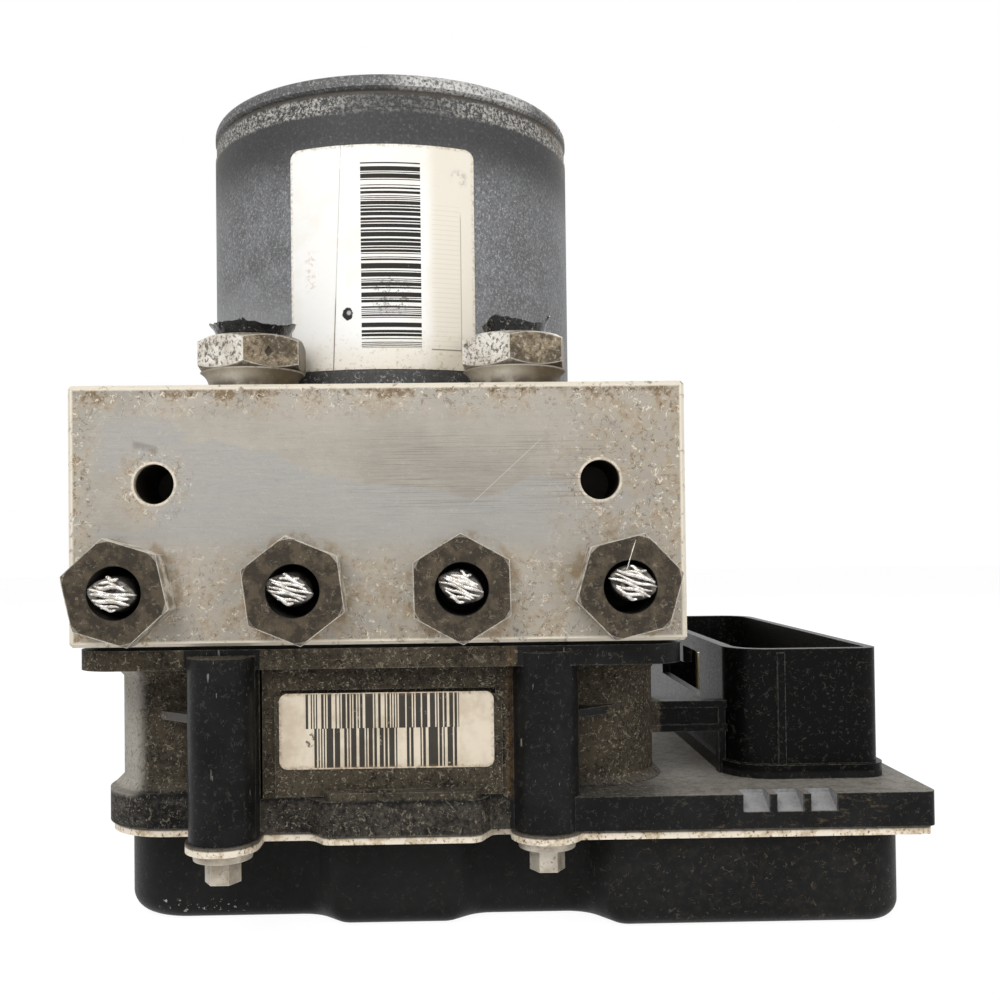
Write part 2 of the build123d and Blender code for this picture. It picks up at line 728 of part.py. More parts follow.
def build_nut(plane, flats, height, corner_cut, neck_radius, flare_radius, neck):
    """Hexagon pipe nut: shank down the port, neck, head with turned-back corners, bore right through."""
    corner = flats / 2 / cos(radians(30))
    face_radius = corner - corner_cut
    drop = corner_cut * tan(radians(corner_slope))
    section = Plane(origin=plane.origin + plane.z_dir * neck, x_dir=plane.x_dir, z_dir=-plane.y_dir)
    with BuildPart() as nut:
        with BuildSketch(plane.offset(neck)):
            RegularPolygon(radius=corner, side_count=6)
        extrude(amount=height)
        with BuildSketch(section):
            with BuildLine():
                Polyline(
                    (0, 0), (face_radius, 0), (corner + slip_gap, drop), (corner + slip_gap, height - drop),
                    (face_radius, height), (0, height), close=True,
                )
            make_face()
        revolve(axis=Axis(plane.origin, plane.z_dir), mode=Mode.INTERSECT)
        if neck > 0:
            with BuildSketch(section):
                with BuildLine():
                    waist = neck_radius + (flare_radius - neck_radius) * neck_waist
                    flare = ThreePointArc((neck_radius, -neck), (waist, -neck * neck_waist_height), (flare_radius, 0))
                    Polyline(flare @ 1, (0, 0), (0, -neck), flare @ 0)
                make_face()
            revolve(axis=Axis(plane.origin, plane.z_dir))
        with BuildSketch(plane):
            Circle(port_radius - press_gap)
        extrude(amount=-(port_depth - nut_shank_end))
        with BuildSketch(plane.offset(neck + height)):
            Circle(nut_bore_radius)
        extrude(amount=-(neck + height + port_depth), mode=Mode.SUBTRACT)
    return nut.part


front_nuts = [
    build_nut(plane, front_nut_flats, front_nut_height, front_nut_cut, 0, 0, 0)
    for plane in front_planes
]
with BuildPart() as front_pipe_nuts:
    add(front_nuts)
place(front_pipe_nuts.part, "front_pipe_nuts")

top_nuts = [
    build_nut(plane, top_nut_flats, top_nut_height, top_nut_cut, top_nut_neck_radius, top_nut_flare_radius, top_nut_neck)
    for plane in top_planes
]
with BuildPart() as top_pipe_nuts:
    add(top_nuts)
place(top_pipe_nuts.part, "top_pipe_nuts")

pinch_start = front_nut_height + pinch_out - pinch_length
with BuildPart() as cut_pipes:
    for x, y, z in front_ports:
        mouth = Plane(origin=(x, y, z), x_dir=(1, 0, 0), z_dir=(0, -1, 0))
        # flared end in the port and straight run
        with BuildSketch(Plane(origin=(x, y, z), x_dir=(1, 0, 0), z_dir=(0, 0, 1))):
            with BuildLine():
                Polyline(
                    (0, port_depth), (pipe_flare_radius, port_depth), (pipe_radius, port_depth - pipe_flare),
                    (pipe_radius, -pinch_start), (0, -pinch_start), close=True,
                )
            make_face()
        revolve(axis=Axis((x, y, z), (0, 1, 0)))
        # pinched end
        with BuildSketch(mouth.offset(pinch_start)):
            Circle(pipe_radius)
        with BuildSketch(mouth.offset(front_nut_height + pinch_out)):
            Ellipse(pinch_half_width, pinch_half_height, rotation=pinch_turn)
        loft()
place(cut_pipes.part, "cut_pipes")

sleeve_base = top_nut_neck + top_nut_height
with BuildPart() as torn_sleeves:
    for x, y, z in top_ports:
        with BuildSketch(Plane.XZ.offset(-y)):
            with BuildLine():
                Polyline(
                    (x + nut_bore_radius - slip_gap - sleeve_wall, z + sleeve_base - sleeve_depth),
                    (x + nut_bore_radius - slip_gap, z + sleeve_base - sleeve_depth),
                    (x + nut_bore_radius - slip_gap, z + sleeve_base + 0.1),
                    (x + nut_bore_radius + 1.6, z + sleeve_base + 0.1),
                    (x + sleeve_flare_radius, z + sleeve_base + sleeve_flare),
                    (x + sleeve_flare_radius - sleeve_wall, z + sleeve_base + sleeve_flare),
                    (x + nut_bore_radius - slip_gap - sleeve_wall, z + sleeve_base + 0.6),
                    close=True,
                )
            make_face()
        revolve(axis=Axis((x, y, z), (0, 0, 1)))
place(torn_sleeves.part, "torn_sleeves")

# ================================================================== pump motor
can_top = block_top + can_height
can_inner = can_radius - can_wall
lug_top = block_top + lug_thickness
with BuildPart() as motor_can:
    with BuildSketch(Plane.XZ):
        with BuildLine():
            Polyline(
                (0, block_top), (can_radius, block_top), (can_radius, can_top - can_band_drop - can_band_step),
                (can_radius - can_band_step, can_top - can_band_drop),
                (can_radius - can_band_step, can_top - can_rim_height - can_rim_groove),
                (can_radius - can_band_step - can_rim_groove, can_top - can_rim_height),
                (can_radius, can_top - can_rim_height + can_rim_groove), (can_radius, can_top),
                (bearing_cup_radius, can_top), (bearing_cup_radius - 0.6, can_top + bearing_cup_height),
                (0, can_top + bearing_cup_height), close=True,
            )
        make_face()
    revolve(axis=Axis.Z)
    fillet(motor_can.edges().filter_by(GeomType.CIRCLE).group_by(Axis.Z)[-2], can_top_radius)
    fillet(motor_can.edges().filter_by(GeomType.CIRCLE).group_by(Axis.Z)[-1], 0.8)
    with BuildSketch(Plane.XY.offset(block_top)):
        for x, y in lug_places:
            with Locations((x, y)):
                Circle(lug_radius)
            with Locations(Location((x * 0.8, y * 0.8, 0), degrees(atan2(y, x)))):
                Rectangle(hypot(x, y) * 0.4, 2 * lug_radius)
    extrude(amount=lug_thickness)
    with BuildSketch(Plane.XZ):
        with BuildLine():
            Polyline(
                (0, block_top), (can_inner, block_top), (can_inner, can_top - can_wall),
                (bush_radius + press_gap, can_top - can_wall), (bush_radius + press_gap, can_top + bearing_cup_height - 1.4),
                (0, can_top + bearing_cup_height - 1.4), close=True,
            )
        make_face()
    revolve(axis=Axis.Z, mode=Mode.SUBTRACT)
    with Locations(*[(x, y, lug_top) for x, y in lug_places]):
        CounterSinkHole(radius=motor_screw_radius + slip_gap, counter_sink_radius=motor_screw_head_radius + slip_gap,
                        counter_sink_angle=90)
place(motor_can.part, "motor_can")

with BuildPart() as motor_screws:
    with Locations(*[(x, y, lug_top) for x, y in lug_places]):
        Cone(motor_screw_radius, motor_screw_head_radius, motor_screw_head_radius - motor_screw_radius,
             align=(Align.CENTER, Align.CENTER, Align.MAX))
        Cylinder(motor_screw_radius, motor_screw_length + lug_thickness - 0.5,
                 align=(Align.CENTER, Align.CENTER, Align.MAX))
    with BuildSketch(Plane.XY.offset(lug_top)):
        with Locations(*lug_places):
            RegularPolygon(radius=motor_screw_key, side_count=6)
    extrude(amount=-motor_screw_key_depth, mode=Mode.SUBTRACT)
place(motor_screws.part, "motor_screws")

bush_top = can_top + bearing_cup_height - 1.4
with BuildPart() as rear_bush:
    with BuildSketch(Plane.XY.offset(bush_top - bush_height)):
        Circle(bush_radius)
        Circle(shaft_radius + run_gap, mode=Mode.SUBTRACT)
    extrude(amount=bush_height)
place(rear_bush.part, "rear_bush")

bearing_bottom = block_top - ball_bearing_height
with BuildPart() as front_bearing:
    with BuildSketch(Plane.XY.offset(bearing_bottom)):
        Circle(ball_bearing_radius)
        Circle(shaft_radius + run_gap, mode=Mode.SUBTRACT)
    extrude(amount=ball_bearing_height)
    # the recess between the rings, on both faces
    for level in (bearing_bottom, block_top - 0.5):
        with BuildSketch(Plane.XY.offset(level)):
            Circle(ball_bearing_radius - 2.2)
            Circle(shaft_radius + 2.0, mode=Mode.SUBTRACT)
        extrude(amount=0.5, mode=Mode.SUBTRACT)
place(front_bearing.part, "front_bearing")

# stack inside the can, from the block up
end_plate_top = block_top + end_plate_thickness
brush_z = end_plate_top
commutator_bottom = brush_z + 1.0
commutator_top = commutator_bottom + commutator_height
lower_winding_bottom = commutator_top
armature_bottom = lower_winding_bottom + winding_height
armature_top = armature_bottom + armature_height
magnet_bottom = armature_bottom - (magnet_height - armature_height) / 2
magnet_outer = can_inner - press_gap
magnet_inner = magnet_outer - magnet_thickness
holder_inner = commutator_radius + 1.2

with BuildPart() as brush_plate:
    with BuildSketch(Plane.XY.offset(block_top)):
        Circle(can_inner - slip_gap)
        Circle(holder_inner, mode=Mode.SUBTRACT)
    extrude(amount=end_plate_thickness)
    # guide boxes that the brushes slide in
    with BuildSketch(Plane.XY.offset(end_plate_top)):
        brush_slot_x = holder_inner + brush_length / 2 + 1.0
        with Locations((-brush_slot_x, 0), (brush_slot_x, 0)):
            Rectangle(brush_length, brush_width + 3.0)
            Rectangle(brush_length, brush_width + 2 * slip_gap, mode=Mode.SUBTRACT)
    extrude(amount=brush_height)
place(brush_plate.part, "brush_plate")

with BuildPart() as brushes:
    with BuildSketch(Plane.XY.offset(brush_z)):
        Rectangle(2 * (commutator_radius + brush_length), brush_width)
        Circle(commutator_radius + air_gap, mode=Mode.SUBTRACT)
    extrude(amount=brush_height)
place(brushes.part, "brushes")

half_opening = radians((180 - magnet_arc) / 2)
with BuildPart() as magnets:
    with BuildSketch(Plane.XY.offset(magnet_bottom)):
        Circle(magnet_outer)
        Circle(magnet_inner, mode=Mode.SUBTRACT)
        for side in (-1, 1):
            with BuildLine():
                Polyline(
                    (0, 0),
                    (side * 2 * can_radius * cos(half_opening), -2 * can_radius * sin(half_opening)),
                    (side * 2 * can_radius * cos(half_opening), 2 * can_radius * sin(half_opening)),
                    close=True,
                )
            make_face(mode=Mode.SUBTRACT)
    extrude(amount=magnet_height)
place(magnets.part, "magnets")

with BuildPart() as armature_core:
    with BuildSketch(Plane.XY.offset(armature_bottom)):
        Circle(armature_radius)
        Circle(shaft_radius + press_gap, mode=Mode.SUBTRACT)
        with PolarLocations(armature_radius - slot_depth / 2, armature_slots):
            SlotOverall(slot_depth + slot_width, slot_width, mode=Mode.SUBTRACT)
    extrude(amount=armature_height)
place(armature_core.part, "armature_core")

with BuildPart() as armature_windings:
    for level in (armature_bottom - winding_height, armature_top):
        with BuildSketch(Plane.XY.offset(level)):
            Circle(winding_outer_radius)
            Circle(winding_inner_radius, mode=Mode.SUBTRACT)
        extrude(amount=winding_height)
    fillet(armature_windings.edges().filter_by(GeomType.CIRCLE).group_by(Axis.Z)[0], 2.0)
    fillet(armature_windings.edges().filter_by(GeomType.CIRCLE).group_by(Axis.Z)[-1], 2.0)
place(armature_windings.part, "armature_windings")

with BuildPart() as commutator:
    with BuildSketch(Plane.XY.offset(commutator_bottom)):
        Circle(commutator_radius)
        Circle(shaft_radius + press_gap, mode=Mode.SUBTRACT)
        with PolarLocations(commutator_radius, armature_slots):
            Rectangle(1.6, 0.5, mode=Mode.SUBTRACT)
    extrude(amount=commutator_height)
place(commutator.part, "commutator")

shaft_tip = pump_z - eccentric_height / 2 - 1.0
with BuildPart() as motor_shaft:
    with BuildSketch(Plane.XY.offset(shaft_tip)):
        Circle(shaft_radius - 1.0)
    extrude(amount=bush_top - 0.5 - shaft_tip)
    with BuildSketch(Plane.XY.offset(pump_z + eccentric_height / 2)):
        Circle(shaft_radius)
    extrude(amount=bush_top - 0.5 - pump_z - eccentric_height / 2)
    with BuildSketch(Plane.XY.offset(pump_z - eccentric_height / 2)):
        with Locations((throw, 0)):
            Circle(eccentric_radius)
    extrude(amount=eccentric_height)
    chamfer(motor_shaft.edges().group_by(Axis.Z)[-1], 0.4)
place(motor_shaft.part, "motor_shaft")

with BuildPart() as eccentric_ring:
    with BuildSketch(Plane.XY.offset(pump_z - eccentric_height / 2)):
        with Locations((throw, 0)):
            Circle(eccentric_ring_radius)
            Circle(eccentric_radius + press_gap, mode=Mode.SUBTRACT)
    extrude(amount=eccentric_height)
place(eccentric_ring.part, "eccentric_ring")

# ================================================================== pump elements
sweep_radius = eccentric_ring_radius + throw
piston_tip = sweep_radius + air_gap
plug_inner = block_width / 2 - pump_plug_length


def along(side):
    """Plane on the pump axis, z pointing out to one side of the block."""
    return Plane(origin=(0, 0, pump_z), x_dir=(0, side, 0), z_dir=(side, 0, 0))


with BuildPart() as pump_sleeves:
    for side in (-1, 1):
        with BuildSketch(along(side).offset(sleeve_start)):
            Circle(pump_bore_radius - press_gap)
            Circle(piston_radius + run_gap, mode=Mode.SUBTRACT)
        extrude(amount=pump_sleeve_length)
place(pump_sleeves.part, "pump_sleeves")

for side, name in ((-1, "pump_piston_left"), (1, "pump_piston_right")):
    with BuildPart() as pump_piston:
        with BuildSketch(along(side).offset(piston_tip)):
            Circle(piston_radius)
        extrude(amount=piston_length)
        chamfer(pump_piston.edges(), 0.3)
    place(pump_piston.part, name)

with BuildPart() as pump_plugs:
    for side in (-1, 1):
        with BuildSketch(along(side).offset(plug_inner)):
            Circle(pump_bore_radius - press_gap)
        extrude(amount=pump_plug_length - pump_plug_head)
        with BuildSketch(along(side).offset(block_width / 2 - pump_plug_head)):
            Circle(pump_plug_head_radius - press_gap)
        extrude(amount=pump_plug_head - 0.4)
        with BuildSketch(along(side).offset(block_width / 2 - 0.4)):
            RegularPolygon(radius=3.4, side_count=6)
        extrude(amount=-2.6, mode=Mode.SUBTRACT)
place(pump_plugs.part, "pump_plugs")


def build_spring(plane, length, radius, turns):
    """Compression spring: round wire on a helix, standing on a plane."""
    with BuildPart() as spring:
        with BuildLine():
            path = Helix(pitch=(length - spring_wire) / turns, height=length - spring_wire, radius=radius,
                         center=(0, 0, spring_wire / 2))
        with BuildSketch(Plane(origin=path @ 0, z_dir=path % 0)):
            Circle(spring_wire / 2)
        sweep(is_frenet=True)
    return spring.part.moved(plane.location)


piston_end = piston_tip + piston_length
pump_spring_length = plug_inner - piston_end
for side, name in ((-1, "pump_spring_left"), (1, "pump_spring_right")):
    spring = build_spring(along(side).offset(piston_end), pump_spring_length, pump_spring_radius, 3.0)
    place(spring, name)

# ================================================================== accumulators
accumulator_floor = block_rear - accumulator_depth
cap_inner = block_rear - accumulator_cap_length
rear_axis = [Plane(origin=(x, accumulator_floor, accumulator_z), x_dir=(-1, 0, 0), z_dir=(0, 1, 0))
             for x in (-accumulator_x, accumulator_x)]
accumulator_spring_length = cap_inner - accumulator_floor - accumulator_piston_length
for plane, side in zip(rear_axis, ("left", "right")):
    with BuildPart() as accumulator_piston:
        with BuildSketch(plane):
            Circle(accumulator_radius - run_gap)
        extrude(amount=accumulator_piston_length)
        with BuildSketch(plane.offset(accumulator_piston_length / 2)):
            Circle(accumulator_radius - run_gap)
            Circle(accumulator_radius - 1.2, mode=Mode.SUBTRACT)
        extrude(amount=1.6, mode=Mode.SUBTRACT)
    place(accumulator_piston.part, "accumulator_piston_" + side)
    spring = build_spring(plane.offset(accumulator_piston_length), accumulator_spring_length,
                          accumulator_spring_radius, 4.0)
    place(spring, "accumulator_spring_" + side)

with BuildPart() as accumulator_caps:
    for plane in rear_axis:
        with BuildSketch(plane.offset(accumulator_depth - accumulator_cap_length)):
            Circle(accumulator_cap_radius - press_gap)
        extrude(amount=accumulator_cap_length - 0.5)
        with BuildSketch(plane.offset(accumulator_depth - 0.5)):
            Circle(accumulator_cap_radius - 3.0)
        extrude(amount=-0.8, mode=Mode.SUBTRACT)
place(accumulator_caps.part, "accumulator_caps")

# ================================================================== valves and coils
with BuildPart() as valve_cartridges:
    for x, y in valve_places:
        with BuildSketch(Plane.XY.offset(block_bottom)):
            with Locations((x, y)):
                Circle(valve_radius - press_gap)
        extrude(amount=valve_depth)
        with BuildSketch(Plane.XY.offset(block_bottom)):
            with Locations((x, y)):
                Circle(valve_collar_radius - press_gap)
        extrude(amount=valve_collar_depth)
        with BuildSketch(Plane.XY.offset(block_bottom)):
            with Locations((x, y)):
                Circle(dome_radius)
        extrude(amount=-dome_length)
    fillet(valve_cartridges.edges().filter_by(GeomType.CIRCLE).group_by(Axis.Z)[0], 2.0)
place(valve_cartridges.part, "valve_cartridges")

coil_top = deck_bottom
coil_bottom = coil_top - coil_height
with BuildPart() as coil_cases:
    for x, y in valve_places:
        with BuildSketch(Plane.XY.offset(coil_bottom)):
            with Locations((x, y)):
                Circle(coil_radius)
                Circle(coil_radius - coil_case_wall, mode=Mode.SUBTRACT)
        extrude(amount=coil_height)
place(coil_cases.part, "coil_cases")

with BuildPart() as coil_windings:
    for x, y in valve_places:
        with BuildSketch(Plane.XY.offset(coil_bottom)):
            with Locations((x, y)):
                Circle(coil_radius - coil_case_wall - press_gap)
                Circle(coil_inner_radius, mode=Mode.SUBTRACT)
        extrude(amount=coil_height)
place(coil_windings.part, "coil_windings")

coil_lead = 0.8
with BuildPart() as coil_leads:
    with BuildSketch(Plane.XY.offset(board_top)):
        for x, y in valve_places:
            with Locations((x - 3.8, y + 6.5), (x + 3.8, y + 6.5)):
                Rectangle(coil_lead, coil_lead)
    extrude(amount=coil_bottom - board_top)
place(coil_leads.part, "coil_leads")

with BuildPart() as block_gasket:
    with BuildSketch(Plane.XY.offset(deck_top)):
        with Locations((0, (deck_front + deck_rear) / 2)):
            RectangleRounded(2 * (deck_half_width - gasket_inset), deck_rear - deck_front - 2 * gasket_inset,
                             deck_corner_radius - 1.0)
            RectangleRounded(2 * (deck_half_width - gasket_inset - gasket_width),
                             deck_rear - deck_front - 2 * (gasket_inset + gasket_width),
                             deck_corner_radius - 3.0, mode=Mode.SUBTRACT)
    extrude(amount=gasket_thickness)
place(block_gasket.part, "block_gasket")

# ================================================================== screws
ecu_screw_flange_radius = 4.7
ecu_screw_flange = 1.3
ecu_screw_flange_taper = 12  # degrees
ecu_screw_head_flats = 4.75
ecu_screw_head = 3.6
ecu_screw_reach = 12.0
with BuildPart() as ecu_screws:
    for x, y in screw_places:
        with BuildSketch(Plane.XY.offset(plate_bottom)):
            with Locations((x, y)):
                Circle(screw_radius)
        extrude(amount=plate_thickness + ecu_screw_reach)
        with BuildSketch(Plane.XY.offset(plate_bottom)):
            with Locations((x, y)):
                Circle(ecu_screw_flange_radius)
        extrude(amount=-ecu_screw_flange, taper=ecu_screw_flange_taper)
        with BuildSketch(Plane.XY.offset(plate_bottom - ecu_screw_flange)):
            with Locations((x, y)):
                RegularPolygon(radius=ecu_screw_head_flats / 2 / cos(radians(30)), side_count=6)
        extrude(amount=-ecu_screw_head)
place(ecu_screws.part, "ecu_screws")

with BuildPart() as deck_screws:
    for x, y in deck_screw_places:
        with BuildSketch(Plane.XY.offset(deck_bottom)):
            with Locations((x, y)):
                Circle(deck_screw_radius)
        extrude(amount=deck_thickness + gasket_thickness + deck_screw_reach)
        with BuildSketch(Plane.XY.offset(deck_bottom)):
            with Locations((x, y)):
                Circle(deck_screw_head_radius)
        extrude(amount=-deck_screw_head_height)
place(deck_screws.part, "deck_screws")

# ================================================================== labels
with BuildPart() as motor_label:
    with BuildSketch(Plane.XY.offset(block_top + motor_label_bottom)):
        Circle(can_radius + label_thickness)
        Circle(can_radius, mode=Mode.SUBTRACT)
    extrude(amount=motor_label_height)
    front_view = Plane(origin=(0, 0, block_top + motor_label_bottom), x_dir=(1, 0, 0), z_dir=(0, -1, 0))
    left_x = (can_radius + label_thickness) * sin(radians(motor_label_left))
    right_x = (can_radius + label_thickness) * sin(radians(motor_label_right))
    with BuildSketch(front_view):
        with Locations(((left_x + right_x) / 2, motor_label_height / 2)):
            RectangleRounded(right_x - left_x, motor_label_height, motor_label_radius)
    extrude(amount=2 * can_radius, mode=Mode.INTERSECT)
place(motor_label.part, "motor_label")

pad_face = panel_front - pad_proud
with BuildPart() as ecu_label:
    with BuildSketch(Plane(origin=(ecu_label_x, pad_face, ecu_label_z), x_dir=(1, 0, 0), z_dir=(0, -1, 0))):
        RectangleRounded(ecu_label_width, ecu_label_height, ecu_label_radius)
    extrude(amount=label_thickness)
place(ecu_label.part, "ecu_label")
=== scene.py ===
"""Looks for the brake hydraulic control unit.

Materials, pinched pipe ends, torn sleeves, copied springs, light and camera.
"""
import math
import random

import bmesh
import bpy
from mathutils import Matrix, Vector, noise


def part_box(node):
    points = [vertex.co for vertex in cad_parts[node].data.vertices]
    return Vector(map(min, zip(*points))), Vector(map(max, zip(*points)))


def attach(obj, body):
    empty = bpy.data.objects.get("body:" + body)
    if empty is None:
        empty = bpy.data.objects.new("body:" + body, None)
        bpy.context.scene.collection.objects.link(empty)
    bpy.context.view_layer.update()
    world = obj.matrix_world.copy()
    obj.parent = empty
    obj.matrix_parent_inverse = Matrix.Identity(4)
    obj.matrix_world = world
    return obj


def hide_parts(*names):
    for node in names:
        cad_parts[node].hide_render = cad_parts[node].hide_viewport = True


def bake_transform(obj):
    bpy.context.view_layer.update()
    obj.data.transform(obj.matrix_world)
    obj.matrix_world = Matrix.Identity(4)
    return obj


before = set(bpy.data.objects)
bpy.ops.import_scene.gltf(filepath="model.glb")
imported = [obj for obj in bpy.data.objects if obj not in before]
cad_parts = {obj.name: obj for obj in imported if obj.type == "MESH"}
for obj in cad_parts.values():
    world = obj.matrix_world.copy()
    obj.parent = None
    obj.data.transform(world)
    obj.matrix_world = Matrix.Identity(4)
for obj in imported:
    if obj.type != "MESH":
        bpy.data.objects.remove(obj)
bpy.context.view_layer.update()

MM = 0.001
# middles of the front ports, the top ports and the mounting holes, in millimetres
PORT_XS = (-38.6, -12.4, 12.6, 37.6)
PORT_Z = 53.9
TOP_PORTS = ((-20.3, -37.0), (21.4, -37.0))
MOUNT_XS = (-34.0, 33.9)
MOUNT_Z = 70.2


# ------------------------------------------------------------------ node graphs
class Shade:
    """A procedural material worked out in millimetres on the object."""

    def __init__(self, name, metallic=0.0, rough=0.5, specular=0.5, coat=0.0, coat_rough=0.1):
        self.material = bpy.data.materials.new(name)
        self.material.use_nodes = True
        self.nodes = self.material.node_tree.nodes
        self.links = self.material.node_tree.links
        self.bsdf = self.nodes["Principled BSDF"]
        self.bsdf.inputs["Metallic"].default_value = metallic
        self.bsdf.inputs["Roughness"].default_value = rough
        self.bsdf.inputs["Specular IOR Level"].default_value = specular
        self.bsdf.inputs["Coat Weight"].default_value = coat
        self.bsdf.inputs["Coat Roughness"].default_value = coat_rough
        coords = self.nodes.new("ShaderNodeTexCoord")
        scale = self.nodes.new("ShaderNodeVectorMath")
        scale.operation = "SCALE"
        scale.inputs["Scale"].default_value = 1.0 / MM
        self.links.new(coords.outputs["Object"], scale.inputs[0])
        self.place = scale.outputs[0]
        split = self.nodes.new("ShaderNodeSeparateXYZ")
        self.links.new(self.place, split.inputs[0])
        self.x, self.y, self.z = split.outputs
        geometry = self.nodes.new("ShaderNodeNewGeometry")
        self.normal = geometry.outputs["Normal"]
        facing = self.nodes.new("ShaderNodeSeparateXYZ")
        self.links.new(self.normal, facing.inputs[0])
        self.nx, self.ny, self.nz = facing.outputs

    def feed(self, socket, value):
        if isinstance(value, bpy.types.NodeSocket):
            self.links.new(value, socket)
        elif isinstance(value, tuple) and len(value) == 3 and len(socket.default_value) == 4:
            socket.default_value = (*value, 1.0)
        else:
            socket.default_value = value

    def math(self, operation, a, b=0.0, clamp=False):
        node = self.nodes.new("ShaderNodeMath")
        node.operation = operation
        node.use_clamp = clamp
        self.feed(node.inputs[0], a)
        self.feed(node.inputs[1], b)
        return node.outputs[0]

    def add(self, a, b, clamp=False):
        return self.math("ADD", a, b, clamp)

    def sub(self, a, b, clamp=False):
        return self.math("SUBTRACT", a, b, clamp)

    def mul(self, a, b, clamp=False):
        return self.math("MULTIPLY", a, b, clamp)

    def most(self, a, b):
        return self.math("MAXIMUM", a, b)

    def least(self, a, b):
        return self.math("MINIMUM", a, b)

    def size(self, a):
        return self.math("ABSOLUTE", a)

    def span(self, value, low, high, start=0.0, end=1.0):
        """Value carried smoothly from start at low to end at high, held outside."""
        node = self.nodes.new("ShaderNodeMapRange")
        node.interpolation_type = "SMOOTHSTEP"
        if low > high:
            low, high, start, end = high, low, end, start
        self.feed(node.inputs["Value"], value)
        for name, number in (("From Min", low), ("From Max", high), ("To Min", start), ("To Max", end)):
            node.inputs[name].default_value = number
        return node.outputs[0]

    def band(self, value, low, high, soft):
        """One from low to high, falling to nought over soft on either side."""
        return self.mul(self.span(value, low - soft, low), self.span(value, high + soft, high))

    def distance(self, a, a0, b, b0):
        da = self.sub(a, a0)
        db = self.sub(b, b0)
        return self.math("SQRT", self.add(self.mul(da, da), self.mul(db, db)))

    def disc(self, a, a0, b, b0, radius, soft):
        """One inside a circle on two coordinates, falling to nought over soft."""
        return self.span(self.distance(a, a0, b, b0), radius + soft, radius)

    def angle(self):
        """Angle in radians about the motor's axis, nought at the front."""
        return self.math("ARCTAN2", self.x, self.mul(self.y, -1.0))

    def stretch(self, factors, shift=(0.0, 0.0, 0.0)):
        """Place scaled and shifted along each axis, for noise that runs one way."""
        node = self.nodes.new("ShaderNodeMapping")
        self.links.new(self.place, node.inputs["Vector"])
        node.inputs["Scale"].default_value = factors
        node.inputs["Location"].default_value = shift
        return node.outputs[0]

    def noise(self, scale, detail=3.0, rough=0.55, vector=None, warp=0.0):
        node = self.nodes.new("ShaderNodeTexNoise")
        self.links.new(vector or self.place, node.inputs["Vector"])
        node.inputs["Scale"].default_value = scale
        node.inputs["Detail"].default_value = detail
        node.inputs["Roughness"].default_value = rough
        node.inputs["Distortion"].default_value = warp
        return node.outputs[0]

    def bars(self, value, pitch, share=0.5, seed=0.0):
        """Generic bars: equal steps along a coordinate, each one or nought."""
        step = self.math("FLOOR", self.mul(value, 1.0 / pitch))
        node = self.nodes.new("ShaderNodeTexWhiteNoise")
        node.noise_dimensions = "1D"
        self.links.new(self.add(step, seed), node.inputs["W"])
        return self.math("LESS_THAN", node.outputs[0], share)

    def hairs(self, scale, width, share, shift):
        """Short curved hairs: the thin level lines of one noise, kept where another is high."""
        wave = self.noise(scale, 1.0, 0.5, self.stretch((1.0, 1.0, 1.0), (shift, 0.0, 0.0)), 1.3)
        kept = self.noise(scale * 1.2, 1.0, 0.5, self.stretch((1.0, 1.0, 1.0), (0.0, shift, 5.0)))
        line = self.span(self.size(self.sub(wave, 0.5)), width, width * 0.35)
        return self.mul(line, self.span(kept, share, share + 0.04))

    def mix(self, factor, a, b):
        node = self.nodes.new("ShaderNodeMix")
        node.data_type = "RGBA"
        self.feed(node.inputs[0], factor)
        self.feed(node.inputs[6], a)
        self.feed(node.inputs[7], b)
        return node.outputs[2]

    def worn_edge(self, radius, low=0.02, high=0.2):
        """Mask of the edges, wider with radius in millimetres."""
        bevel = self.nodes.new("ShaderNodeBevel")
        bevel.samples = 6
        bevel.inputs["Radius"].default_value = radius * MM
        dot = self.nodes.new("ShaderNodeVectorMath")
        dot.operation = "DOT_PRODUCT"
        self.links.new(bevel.outputs[0], dot.inputs[0])
        self.links.new(self.normal, dot.inputs[1])
        return self.span(self.sub(1.0, dot.outputs["Value"]), low, high)

    def bump(self, height, distance, strength=1.0, after=None):
        """Relief of the height times distance in millimetres."""
        node = self.nodes.new("ShaderNodeBump")
        node.inputs["Strength"].default_value = strength
        node.inputs["Distance"].default_value = distance * MM
        self.links.new(height, node.inputs["Height"])
        if after is not None:
            self.links.new(after, node.inputs["Normal"])
        return node.outputs[0]

    def done(self, color, rough=None, normal=None):
        self.feed(self.bsdf.inputs["Base Color"], color)
        if rough is not None:
            self.feed(self.bsdf.inputs["Roughness"], rough)
        if normal is not None:
            self.links.new(normal, self.bsdf.inputs["Normal"])
        return self.material


def linear(level):
    """A display level, 0 to 255, as the linear share that renders to it."""
    return ((level / 255 + 0.055) / 1.055) ** 2.4 if level > 10.3 else level / 255 / 12.92


def tone(red, green, blue):
    return linear(red), linear(green), linear(blue)


def dress(material, *names):
    for name in names:
        obj = bpy.data.objects[name]
        obj.data.materials.clear()
        obj.data.materials.append(material)


